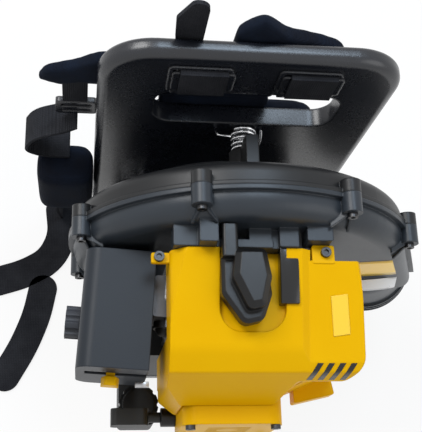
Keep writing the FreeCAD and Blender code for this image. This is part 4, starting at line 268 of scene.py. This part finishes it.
# %% Woven finishes
def woven(name, colour, faded, pitch, depth, rough=0.85):
    """Cloth: its colour, its faded colour, threads per metre and the depth of the weave."""
    finish = Finish(name, Specular_IOR_Level=0.12)
    waves = []
    for way in ("X", "Y", "Z"):
        waves.append(finish.node("ShaderNodeTexWave", {"bands_direction": way},
                                 {"Vector": finish.place(), "Scale": pitch, "Distortion": 0.6},
                                 output="Fac"))
    weave = waves[0] * 0.5 + waves[1] * 0.5 + waves[2]
    fade = finish.steps(finish.noise(22, 5, 0.65), 0.38, 0.72)
    tint = finish.mix(fade, colour, faded)
    finish.feed("Base Color", finish.mix(weave * 0.22, tint, (0.001, 0.001, 0.002)))
    finish.feed("Roughness", rough + 0.1 * (fade - 0.5))
    finish.feed("Normal", finish.bump(weave + 2 * finish.noise(70, 3, 0.6), depth, 0.0006,
                                      finish.rounded(0.0008, 4)))
    return finish.material


PAD_NAVY = woven("pad_navy", (0.0035, 0.0055, 0.012), (0.010, 0.017, 0.034), 330, 0.5)
TAPE_BLACK = woven("tape_black", (0.016, 0.017, 0.021), (0.040, 0.042, 0.049), 160, 0.9)
ROPE_WHITE = woven("rope_weave", (0.42, 0.42, 0.40), (0.60, 0.60, 0.57), 700, 0.6)
print("cloths:", ", ".join(m.name for m in (PAD_NAVY, TAPE_BLACK, ROPE_WHITE)))

# %% [markdown]
# ## One finish for each solid
# The record names a material slot for every solid, so one table from slot to finish dresses the
# whole machine.  Two solids differ from their slot: the front of the fan housing is a lighter,
# bluer copy of the black of its back, which is painted sheen, and the carburettor is darker and
# duller than the other castings.

# %% Put the finishes on the solids
FOAM = moulded("filter_foam", (0.012, 0.015, 0.026), (0.03, 0.036, 0.05), 0.8)
CARBURETTOR_ALLOY = metal("carburettor_alloy", (0.10, 0.10, 0.105), 0.5)
FINISHES = {
    "frame_black": FRAME_BLACK, "shell_black": SHELL_BLACK, "cover_yellow": COVER_YELLOW,
    "lever_yellow": COVER_YELLOW, "filter_grey": FILTER_GREY, "knob_grey": KNOB_GREY,
    "cap_black": CAP_BLACK, "tank_plastic": TANK_BLACK, "cast_alloy": CAST_ALLOY,
    "steel": STEEL, "screw_steel": SCREW_BLACK, "spring_wire": SPRING_WIRE,
    "plug_body": CAP_BLACK, "coil_black": SHELL_BLACK, "rubber_black": GRIP_RUBBER,
    "primer_rubber": GRIP_RUBBER, "exhaust_steel": EXHAUST, "filter_foam": FOAM,
    "rope_white": ROPE_WHITE, "pad_fabric": PAD_NAVY, "webbing": TAPE_BLACK,
}
slot_of = {row["node"]: row["material_slot"] for row in frame["record"]["subparts"]}
for name, solid in nodes.items():
    solid.data.materials.clear()
    solid.data.materials.append(FINISHES[slot_of[name]])
# The housing's front takes the lighter, bluer copy of its black, which is painted sheen.
nodes["fan_housing_front"].data.materials[0] = FACE_BLACK_PAINTED_SHEEN
nodes["carburettor"].data.materials[0] = CARBURETTOR_ALLOY
print("finished solids:", len(nodes))

# %% [markdown]
# ## Tools for added pieces
# Every added piece stays at the origin with its place in its own points and is shaded smooth.  All
# but the coils and the rope ride the body of the solid that they sit on.  A rounded box and a
# rounded post are needed several times, so each has its helper, and the edges that they round
# catch the light as moulded ones do.

# %% Piece helper
def piece(name, made, finish, body, angle=40):
    """Turn a bmesh into a shown object on a body, with a slot to take its colour from."""
    bmesh.ops.recalc_face_normals(made, faces=made.faces)
    data = bpy.data.meshes.new(name)
    made.to_mesh(data)
    made.free()
    data.materials.append(finish)
    data.shade_smooth()
    data.set_sharp_from_angle(angle=math.radians(angle))
    thing = bpy.data.objects.new(name, data)
    bpy.context.scene.collection.objects.link(thing)
    if body:
        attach(thing, body)
    return thing


print("piece helper ready")

# %% Block and post helpers
def add_block(made, low, high, edge=0.0008):
    """Add a box between two corners to a bmesh, with its edges rounded."""
    low, high = Vector(low), Vector(high)
    corners = bmesh.ops.create_cube(made, size=1)["verts"]
    for corner in corners:
        corner.co = (low + high) / 2 + Vector(a * b for a, b in zip(corner.co, high - low))
    edges = list({e for corner in corners for e in corner.link_edges})
    bmesh.ops.bevel(made, geom=edges, offset=edge, segments=2, profile=0.5, affect="EDGES",
                    material=-1)


def add_disc(made, middle, axis, radius, height, edge=0.0006, sides=28):
    """Add a short round post to a bmesh, standing on middle along axis."""
    turn = Vector((0, 0, 1)).rotation_difference(Vector(axis)).to_matrix().to_4x4()
    lift = Matrix.Translation(Vector(middle)) @ turn @ Matrix.Translation((0, 0, height / 2))
    ring = bmesh.ops.create_cone(made, cap_ends=True, segments=sides, radius1=radius,
                                 radius2=radius, depth=height, matrix=lift)["verts"]
    top = max(ring, key=lambda v: (v.co - Vector(middle)).dot(Vector(axis))).co.copy()
    edges = {e for v in ring for e in v.link_edges
             if all(abs((w.co - top).dot(Vector(axis))) < 1e-5 for w in e.verts)}
    bmesh.ops.bevel(made, geom=list(edges), offset=edge, segments=2, profile=0.5,
                    affect="EDGES", material=-1)


print("block and post helpers ready")

# %% [markdown]
# ## Pads
# Each pad starts as its CAD solid.  The copy is skinned with an even net, relaxed so that its
# edges turn over, and swollen on the side that faces away from the plate.  The waves in its face
# come from two crossed sines, which puckers it like quilting.  The left shoulder pad is folded
# slimmer than its solid, so it starts from its own outline.

# %% Copies and cut shapes
def grown_verts(grown):
    """The vertices among what an extrude or a spin gives back."""
    return [item for item in grown if isinstance(item, bmesh.types.BMVert)]


def copied(name):
    """A merged copy of a CAD solid's mesh."""
    made = bmesh.new()
    made.from_mesh(nodes[name].data)
    bmesh.ops.remove_doubles(made, verts=made.verts, dist=1e-5)
    return made


def add_cut_shape(made, outline, back, thick):
    """Add a flat shape cut along an outline of (x, z) in millimetres, back is its y."""
    face = made.faces.new([made.verts.new(at(x, back, z)) for x, z in outline])
    grown = bmesh.ops.extrude_face_region(made, geom=[face])["geom"]
    bmesh.ops.translate(made, vec=(0, thick / 1000, 0), verts=grown_verts(grown))
    bmesh.ops.recalc_face_normals(made, faces=made.faces)


print("starting shapes ready")

# %% Even net
NET_CELL = 0.004
NET_RELAX = 10


def skinned(name, made):
    """An even net over a closed mesh, with its corners relaxed, as a bmesh."""
    data = bpy.data.meshes.new(name + "_net")
    made.to_mesh(data)
    made.free()
    helper = bpy.data.objects.new(name + "_net", data)
    bpy.context.scene.collection.objects.link(helper)
    net = helper.modifiers.new("net", "REMESH")
    net.mode, net.voxel_size = "VOXEL", NET_CELL
    soften = helper.modifiers.new("soften", "SMOOTH")
    soften.factor, soften.iterations = 0.5, NET_RELAX
    graph = bpy.context.evaluated_depsgraph_get()
    result = bmesh.new()
    result.from_mesh(helper.evaluated_get(graph).to_mesh())
    bpy.data.objects.remove(helper)
    return result


print("net cell in mm:", 1000 * NET_CELL)

# %% Swollen pads
PUCKER = 0.05


def swollen(name, crown, start=None):
    """The padded piece that stands for a CAD pad; crown is how far its middle rises."""
    made = skinned(name, start or copied(name))
    low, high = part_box(name)
    middle, half = (low + high) / 2, (high - low) / 2
    for vertex in made.verts:
        offset = vertex.co - middle
        across = 1 - min(1, abs(offset.x / half.x)) ** 3
        along = 1 - min(1, abs(offset.z / half.z)) ** 4
        puckers = PUCKER * math.sin(90 * vertex.co.z) * math.sin(70 * vertex.co.x + 1)
        swell = across if offset.y > 0 else 0
        vertex.co.y += crown * along * (swell + puckers)
    pad = piece(name + "_soft", made, PAD_NAVY, "frame", angle=180)
    finer = pad.modifiers.new("round", "SUBSURF")
    finer.levels = finer.render_levels = 1
    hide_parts(name)
    return pad


print("pads pucker by", PUCKER, "of their crown")

# %% Pads on the frame
folded_strap = bmesh.new()
add_cut_shape(folded_strap, ((42, 309), (42, 353), (-70, 363), (-128, 368), (-150, 352),
                             (-178, 343), (-185, 328), (-164, 318), (-130, 322), (-80, 305)),
              123.5, 13)
for name, crown, start in (("back_cushion", 0.006, None), ("shoulder_pad_right", 0.004, None),
                           ("shoulder_pad_left", 0.004, folded_strap),
                           ("waist_pad", 0.003, None)):
    pad = swollen(name, crown, start)
    print(pad.name, "faces:", len(pad.data.polygons))

# %% [markdown]
# ## The roll behind the handle and the link at the left
# A spare length of the left pad is rolled up between the cushion and the handle slot.  It is a
# round post with soft ends, cut into short lengths so that it can sag in waves.  Below the
# folded strap a flat tape runs down to the buckle.

# %% Rolled pad and strap link
roll = bmesh.new()
add_disc(roll, at(-68, 131.5, 296.5), (1, 0, 0), 0.0074, 0.108, edge=0.005, sides=24)
bmesh.ops.subdivide_edges(roll, edges=[e for e in roll.edges if e.calc_length() > 0.05], cuts=18)
for vertex in roll.verts:
    vertex.co.z += 0.0012 * math.sin(130 * vertex.co.x)
rolled_pad = piece("rolled_pad", roll, PAD_NAVY, "frame", angle=180)
link = bmesh.new()
add_block(link, at(-161, 124, 276), at(-137, 127, 334), edge=0.0006)
piece("strap_link", link, TAPE_BLACK, "frame")
print("roll and link made")

# %% [markdown]
# ## Isolator springs
# Three wound steel springs carry the engine on the plate and keep its shaking from the back.  A
# bent tube could draw them, but its ends would stop short.  Here a round section is spun up the
# helix, and the first and last turns lie nearly flat, as wound springs are closed.

# %% Coil helper
COIL_RADIUS, COIL_WIRE, COIL_TURNS = 0.0112, 0.0017, 4.4
FLAT_TURNS, FLAT_AIR = 0.8, 1.05
FLAT_GAIN = 2 * COIL_WIRE * FLAT_AIR
RING_SIDES, STEPS_A_TURN = 12, 26


def coil(middle, start_y, end_y):
    """A helix about Y: a round section spun up it, with a flat turn at each end."""
    made = bmesh.new()
    tip = Matrix.Translation((middle.x + COIL_RADIUS, start_y + COIL_WIRE, middle.z))
    ring = bmesh.ops.create_circle(made, segments=RING_SIDES, radius=COIL_WIRE,
                                   matrix=tip)["verts"]
    geometry = ring + list({e for v in ring for e in v.link_edges})
    bmesh.ops.contextual_create(made, geom=ring)
    open_turns = COIL_TURNS - 2 * FLAT_TURNS
    open_gain = (end_y - start_y - 2 * COIL_WIRE - 2 * FLAT_TURNS * FLAT_GAIN) / open_turns
    for count, gain in ((FLAT_TURNS, FLAT_GAIN), (open_turns, open_gain),
                        (FLAT_TURNS, FLAT_GAIN)):
        steps = round(count * STEPS_A_TURN)
        grown = bmesh.ops.spin(made, geom=geometry, cent=middle, axis=(0, 1, 0),
                               dvec=(0, gain * count / steps, 0), angle=-2 * math.pi * count,
                               steps=steps)
        geometry = grown["geom_last"]
    bmesh.ops.contextual_create(made, geom=grown_verts(geometry))
    return made


print("coil of", COIL_TURNS, "turns in wire of", round(2000 * COIL_WIRE, 1), "mm")

# %% Three coils between the frame and the engine
spring_low, spring_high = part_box("isolator_springs")
SPRING_PLACES = ((17, CRANK_Z + 56), (-84, CRANK_Z - 92), (84, CRANK_Z - 92))
for index, (x, z) in enumerate(SPRING_PLACES):
    middle = at(x, 0, z)
    start = Vector((middle.x, spring_low.y, middle.z))
    end = Vector((middle.x, spring_high.y, middle.z))
    spring = piece("spring_%d" % index, coil(middle, start.y, end.y), SPRING_WIRE, None,
                   angle=60)
    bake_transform(spring)
    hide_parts("isolator_springs")
print("coils between", round(1000 * spring_low.y, 1), "and", round(1000 * spring_high.y, 1))

# %% [markdown]
# ## Starter rope
# The free run of a starter rope is braided cord, and it has to stay joined to the pulley while
# the grip is pulled away.  It is one length, cut into short lengths.

# %% Rope
rope_low, rope_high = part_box("starter_rope")
rope_middle = (rope_low + rope_high) / 2
rope = bmesh.new()
add_disc(rope, (rope_low.x, rope_middle.y, rope_middle.z), (1, 0, 0),
         (rope_high.z - rope_low.z) / 2, rope_high.x - rope_low.x, edge=0.0002, sides=14)
bmesh.ops.subdivide_edges(rope, edges=[e for e in rope.edges if e.calc_length() > 0.02], cuts=60)
pull_rope = piece("pull_rope", rope, ROPE_WHITE, None)
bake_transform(pull_rope)
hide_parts("starter_rope")
print("rope run in mm:", round(1000 * (rope_high.x - rope_low.x)))

# %% [markdown]
# ## Window frames
# The two windows in the plate have moulded rims that stand proud of it, each with two small feet
# below.  A rim is four rounded rings of points, joined one to the next and back to the first, so
# it is one watertight shape.  The bridge operator twists such rings, because one lies inside the
# other, so the faces between them are laid one by one.

# %% Window helpers
def rounded_outline(half_x, half_z, corner, sides=5):
    """A rectangle with rounded corners as a list of (x, z) about its middle."""
    points = []
    for quarter, (sign_x, sign_z) in enumerate(((1, 1), (-1, 1), (-1, -1), (1, -1))):
        for k in range(sides + 1):
            turn = math.pi / 2 * (quarter + k / sides)
            points.append((sign_x * (half_x - corner) + corner * math.cos(turn),
                           sign_z * (half_z - corner) + corner * math.sin(turn)))
    return points


def add_frame(made, middle, half_x, half_z, width, deep):
    """A rectangular moulding round a window, standing on y = middle.y towards -Y.

    New faces have no normals until an operator ends, so the bevel finds the long edges of the
    rims that are already in the mesh, and the rim that is laid last keeps its own sharp.
    """
    inner, outer = (half_x, half_z, 0.003), (half_x + width, half_z + width, 0.005)
    rings = [[made.verts.new(middle + Vector((x, y, z))) for x, z in rounded_outline(*outline)]
             for outline, y in ((inner, 0), (inner, -deep), (outer, -deep), (outer, 0))]
    for first, second in zip(rings, rings[1:] + rings[:1]):
        for quad in zip(first, first[1:] + first[:1], second[1:] + second[:1], second):
            made.faces.new(quad)
    bmesh.ops.bevel(made, geom=[e for e in made.edges if e.calc_face_angle(0) > 1.2],
                    offset=0.0007, segments=2, profile=0.5, affect="EDGES", material=-1)


print("window corners:", len(rounded_outline(1, 1, 0.1)), "points")

# %% Window frames
PLATE_FRONT, WINDOW_Z = 104, CRANK_Z + 158
WINDOW_XS, FOOT_XS = (-40, 58), (-20, 20)
frames = bmesh.new()
for x in WINDOW_XS:
    add_frame(frames, at(x, PLATE_FRONT, WINDOW_Z), 0.0245, 0.0175, 0.004, 0.0025)
    for foot in FOOT_XS:
        add_block(frames, at(x + foot - 4, PLATE_FRONT - 3.2, WINDOW_Z - 24.5),
                  at(x + foot + 4, PLATE_FRONT, WINDOW_Z - 20.5))
piece("window_frames", frames, FRAME_BLACK, "frame")
print("windows framed:", len(WINDOW_XS))

# %% [markdown]
# ## Hooks and the choke shutter
# Bent wire hooks hold the top spring to the plate.  Bent wire is a NURBS curve with a round
# section, which stays smooth however few points it has.  The shutter is a small steel tab that
# shows beside the choke lever, and it is a plain block.

# %% Hooks and shutter
def wire(name, points, radius, finish, body, slot):
    """A bent wire through points, as one smooth curve with a round section."""
    data = bpy.data.curves.new(name, "CURVE")
    data.dimensions, data.bevel_depth, data.bevel_resolution = "3D", radius, 4
    data.resolution_u, data.use_fill_caps = 12, True
    line = data.splines.new("NURBS")
    line.points.add(len(points) - 1)
    for knot, place in zip(line.points, points):
        knot.co = (*place, 1)
    line.order_u = 3
    line.use_endpoint_u = True
    data.materials.append(finish)
    thing = bpy.data.objects.new(name, data)
    bpy.context.scene.collection.objects.link(thing)
    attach(thing, body)
    return thing


HOOKS = (((17, 92, 45), (30, 90, 43), (36, 96, 50), (34, 103, 60)),
         ((2, 92, 66), (-8, 90, 70), (-12, 96, 66), (-11, 103, 60)))
for index, bends in enumerate(HOOKS):
    wire("spring_hook_%d" % index, [at(x, y, CRANK_Z + z) for x, y, z in bends], 0.0013,
         SPRING_WIRE, "frame", "spring_wire")
lever_low, lever_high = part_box("choke_lever")
shutter = bmesh.new()
add_block(shutter, (lever_high.x + 0.001, lever_low.y + 0.001, lever_low.z - 0.002),
          (lever_high.x + 0.013, lever_low.y + 0.006, lever_low.z + 0.003), edge=0.0004)
piece("choke_shutter", shutter, STEEL, "power_unit")
print("hooks:", len(HOOKS), "and one shutter")

# %% [markdown]
# ## Plain patches
# Where such a machine carries a badge or a label, this one has a plain patch.  A patch is a small
# flat grid whose points are dropped onto the solid under it, and which is then extruded to the
# thickness of a film.  It follows the round of the shell, which a flat plate would cut into.

# %% Patch helpers
SURFACES = {}
MISS_DEPTH = 0.05


def fallen(names, origin, way):
    """Where a ray from origin along way first meets one of the named solids, or None."""
    best = None
    for name in names:
        if name not in SURFACES:
            graph = bpy.context.evaluated_depsgraph_get()
            SURFACES[name] = BVHTree.FromObject(nodes[name], graph)
        hit = SURFACES[name].ray_cast(origin, way)[0]
        if hit is not None and (best is None or (hit - origin).length < (best - origin).length):
            best = hit
    return best


def patch(name, names, corners, way, thick, finish, cuts, lift=0.0002):
    """A film over names inside four corners, seen along way, on the engine's body.

    A point of the net that misses the solids is left a little way along its own ray.
    """
    made = bmesh.new()
    way = Vector(way).normalized()
    bmesh.ops.create_grid(made, x_segments=cuts[0], y_segments=cuts[1], size=0.5)
    for vertex in made.verts:
        u, v = vertex.co.x + 0.5, vertex.co.y + 0.5
        place = corners[0].lerp(corners[1], u).lerp(corners[3].lerp(corners[2], u), v)
        hit = fallen(names, place, way)
        surface = hit if hit is not None else place + way * MISS_DEPTH
        vertex.co = surface - way * (lift + thick)
    lower = bmesh.ops.extrude_face_region(made, geom=list(made.faces))["geom"]
    bmesh.ops.translate(made, vec=way * thick, verts=grown_verts(lower))
    return piece(name, made, finish, "power_unit", angle=35)


print("patch helpers ready")

# %% [markdown]
# ## Strip, label and louvre shades on the cover
# A short black strip lies along the top of the yellow cover and droops towards its outer end.  A
# yellow label lies at its right, and the mouths of the four louvres carry thin dark films of
# painted shade, which read as openings without cutting the cover.

# %% Cover patches
LABEL_YELLOW = moulded("label_yellow", (0.93, 0.60, 0.03), (0.95, 0.66, 0.08), 0.30, grain=0.02,
                       mottle=0.2, coat=0.3)
STRIP_BLACK = moulded("strip_black", (0.004, 0.004, 0.0045), (0.012, 0.012, 0.013), 0.22,
                      grain=0.03, mottle=0.2, coat=0.3)
DOWN = (0, 0, -1)
ABOVE_COVER = 400
DROOP_FROM, DROOP = 0.044, 0.2
LOUVRES, LOUVRE_X, LOUVRE_STEP = 4, 57, 10
strip = bmesh.new()
add_block(strip, at(30.6, -91, 349), at(47, -24, 360))
for vertex in strip.verts:
    vertex.co.z -= max(0, JOINT.y - DROOP_FROM - vertex.co.y) * DROOP
piece("cover_strip", strip, STRIP_BLACK, "power_unit")
patch("cover_label", ("engine_cover",),
      [at(x, y, ABOVE_COVER) for x, y in ((78, -117), (93, -115), (91, -81), (76, -83))], DOWN,
      0.0004, LABEL_YELLOW, (4, 8))
# Each louvre mouth gets a thin dark film of painted shade where an opening would be dark.
for index in range(LOUVRES):
    x = LOUVRE_X + LOUVRE_STEP * index
    mouth = ((x, -150.5), (x + 5, -150.5), (x + 12, -139), (x + 7, -139))
    patch("louvre_shade_%d" % index, ("engine_cover",),
          [at(a, b, ABOVE_COVER) for a, b in mouth], DOWN, 0.0003, STRIP_BLACK,
          (3, 6))
print("cover patches:", 2 + LOUVRES)

# %% [markdown]
# ## Bands on the outlet
# Two plain labels, one yellow and one white, lie on the round of the fan housing where the air
# leaves it.  They are laid on along the slope of the housing's front, so they wrap over its edge.

# %% Outlet bands
LABEL_WHITE = moulded("label_white", (0.72, 0.73, 0.74), (0.60, 0.61, 0.62), 0.32, grain=0.02,
                      mottle=0.2, coat=0.3)
HOUSING_FACE = -37
SLOPE = Vector((0.148, 0.337, -0.930))
RAISED = 0.12


def housing_band(name, corners, finish):
    """A plain label on the round of the outlet, laid on along the slope of its front."""
    raised = [at(x, HOUSING_FACE, z) - SLOPE * RAISED for x, z in corners]
    patch(name, ("fan_housing_front", "fan_housing_rear"), raised, SLOPE, 0.0003, finish,
          (12, 6))


housing_band("outlet_band_yellow", ((120, 292), (158, 301), (178, 254), (137, 242)),
             LABEL_YELLOW)
housing_band("outlet_band_white", ((141, 231), (182, 244), (192, 205), (155, 196)), LABEL_WHITE)
print("bands laid on along", [round(c, 3) for c in SLOPE])

# %% [markdown]
# ## Floor
# The machine stands on a pale sheet that fades into a white background.  A plain white floor
# would turn grey away from the lamps, so most of what a viewer sees of it is its own even glow,
# and the rest is a matt white that takes the shadow.  The glow is there only for rays that show
# the floor, and the light that the floor throws back onto the machine comes from the matt part.

# %% Floor finish
FLOOR_WHITE, FLOOR_GLOW = 0.92, 0.86


def background_rays(shading):
    """A wire that is 1 for rays that should see the white background, and 0 for lighting."""
    camera_ray, glossy_ray, through_ray = (
        shading.node("ShaderNodeLightPath", output=ray)
        for ray in ("Is Camera Ray", "Is Glossy Ray", "Is Transmission Ray"))
    mirrored = camera_ray.maths("MAXIMUM", camera_ray, glossy_ray)
    return mirrored.maths("MAXIMUM", mirrored, through_ray)


def pale(name, white, glow_share):
    """A matt white that also glows by glow_share for rays that show the background."""
    finish = Finish(name, Base_Color=(white, white, white, 1), Roughness=0.9)
    shown = finish.node("ShaderNodeMixShader", None,
                        {0: background_rays(finish) * glow_share,
                         1: Wire(finish, finish.shader.outputs[0]),
                         2: finish.node("ShaderNodeEmission")})
    finish.tree.links.new(shown.socket, finish.tree.nodes["Material Output"].inputs[0])
    return finish.material


PALE_FLOOR = pale("floor_white", FLOOR_WHITE, FLOOR_GLOW)
print("floor finish", PALE_FLOOR.name, "glows by", FLOOR_GLOW)

# %% Floor
FLOOR_HALF, FLOOR_DROP = 6, 0.0005
floor_mesh = bmesh.new()
bmesh.ops.create_grid(floor_mesh, x_segments=1, y_segments=1, size=FLOOR_HALF)
floor_data = bpy.data.meshes.new("floor")
floor_mesh.to_mesh(floor_data)
floor_mesh.free()
floor_data.materials.append(PALE_FLOOR)
floor = bpy.data.objects.new("floor", floor_data)
bpy.context.scene.collection.objects.link(floor)
floor.location.z = -FLOOR_DROP
print("floor laid", 1000 * FLOOR_DROP, "mm under the feet")

# %% [markdown]
# ## Lamps and sky
# Three round soft lamps light the machine: a key lamp high behind it on the left, a weaker fill
# from the right in front, and a bluish one above its back that shows the edges of the plate.  The
# sky is even and white.  It lights the machine at half strength and is shown at full strength.

# %% Lamps
def lamp(name, place, size, power, aim, colour=(1, 1, 1)):
    """A round soft lamp at place, turned towards aim."""
    data = bpy.data.lights.new(name, "AREA")
    data.size, data.energy, data.shape, data.color = size, power, "DISK", colour
    made = bpy.data.objects.new(name, data)
    made.location = place
    made.rotation_euler = (Vector(aim) - Vector(place)).to_track_quat("-Z", "Y").to_euler()
    bpy.context.scene.collection.objects.link(made)


lamp("key", (-1.1, 0.9, 2.2), size=1.2, power=30, aim=(0, 0, 0.2))
lamp("fill", (1.6, -0.9, 1.6), size=1.6, power=9, aim=(0, 0, 0.2))
lamp("top", (0.3, 0.85, 2.3), size=0.8, power=15, aim=(0, 0.1, 0.3), colour=(0.66, 0.82, 1.0))
print("lamps:", len(bpy.data.lights))

# %% Sky
SKY_LIGHT, SKY_SHOWN = 0.5, 1.0
world = bpy.data.worlds.new("sky")
bpy.context.scene.world = world
world.use_nodes = True
sky = Shading(world.node_tree)
level = background_rays(sky) * (SKY_SHOWN - SKY_LIGHT) + SKY_LIGHT
background = sky.tree.nodes["Background"]
background.inputs["Color"].default_value = (1, 1, 1, 1)
sky.tree.links.new(level.socket, background.inputs["Strength"])
bpy.context.scene.view_settings.view_transform = "Standard"
print("sky:", SKY_LIGHT, "for lighting,", SKY_SHOWN, "where it shows")

# %% [markdown]
# ## Camera
# The camera looks down steeply from the engine's side and is a little rolled.  Its three axes are
# built from the azimuth, the elevation and the roll, and it is then moved across and up in its
# own plane until the machine sits where it should.

# %% Camera
AZIMUTH, ELEVATION, ROLL = (math.radians(a) for a in (-22.0, 68.4, 21.9))
DISTANCE, SHIFT_ACROSS, SHIFT_UP = 0.9089, -0.0253, 0.0426
LENS = 75
back = Vector((math.sin(AZIMUTH) * math.cos(ELEVATION), -math.cos(AZIMUTH) * math.cos(ELEVATION),
               math.sin(ELEVATION)))
side = (-back).cross(Vector((0, 0, 1))).normalized()
upward = side.cross(-back)
across = math.cos(ROLL) * side + math.sin(ROLL) * upward
up = math.cos(ROLL) * upward - math.sin(ROLL) * side
camera_data = bpy.data.cameras.new("camera")
camera_data.lens = LENS
camera = bpy.data.objects.new("camera", camera_data)
place = at(15, -12, CRANK_Z) + back * DISTANCE + across * SHIFT_ACROSS + up * SHIFT_UP
camera.matrix_world = (Matrix.Translation(place)
                       @ Matrix((across, up, back)).transposed().to_4x4())
bpy.context.scene.collection.objects.link(camera)
bpy.context.scene.camera = camera
print("camera at", [round(c, 3) for c in place])
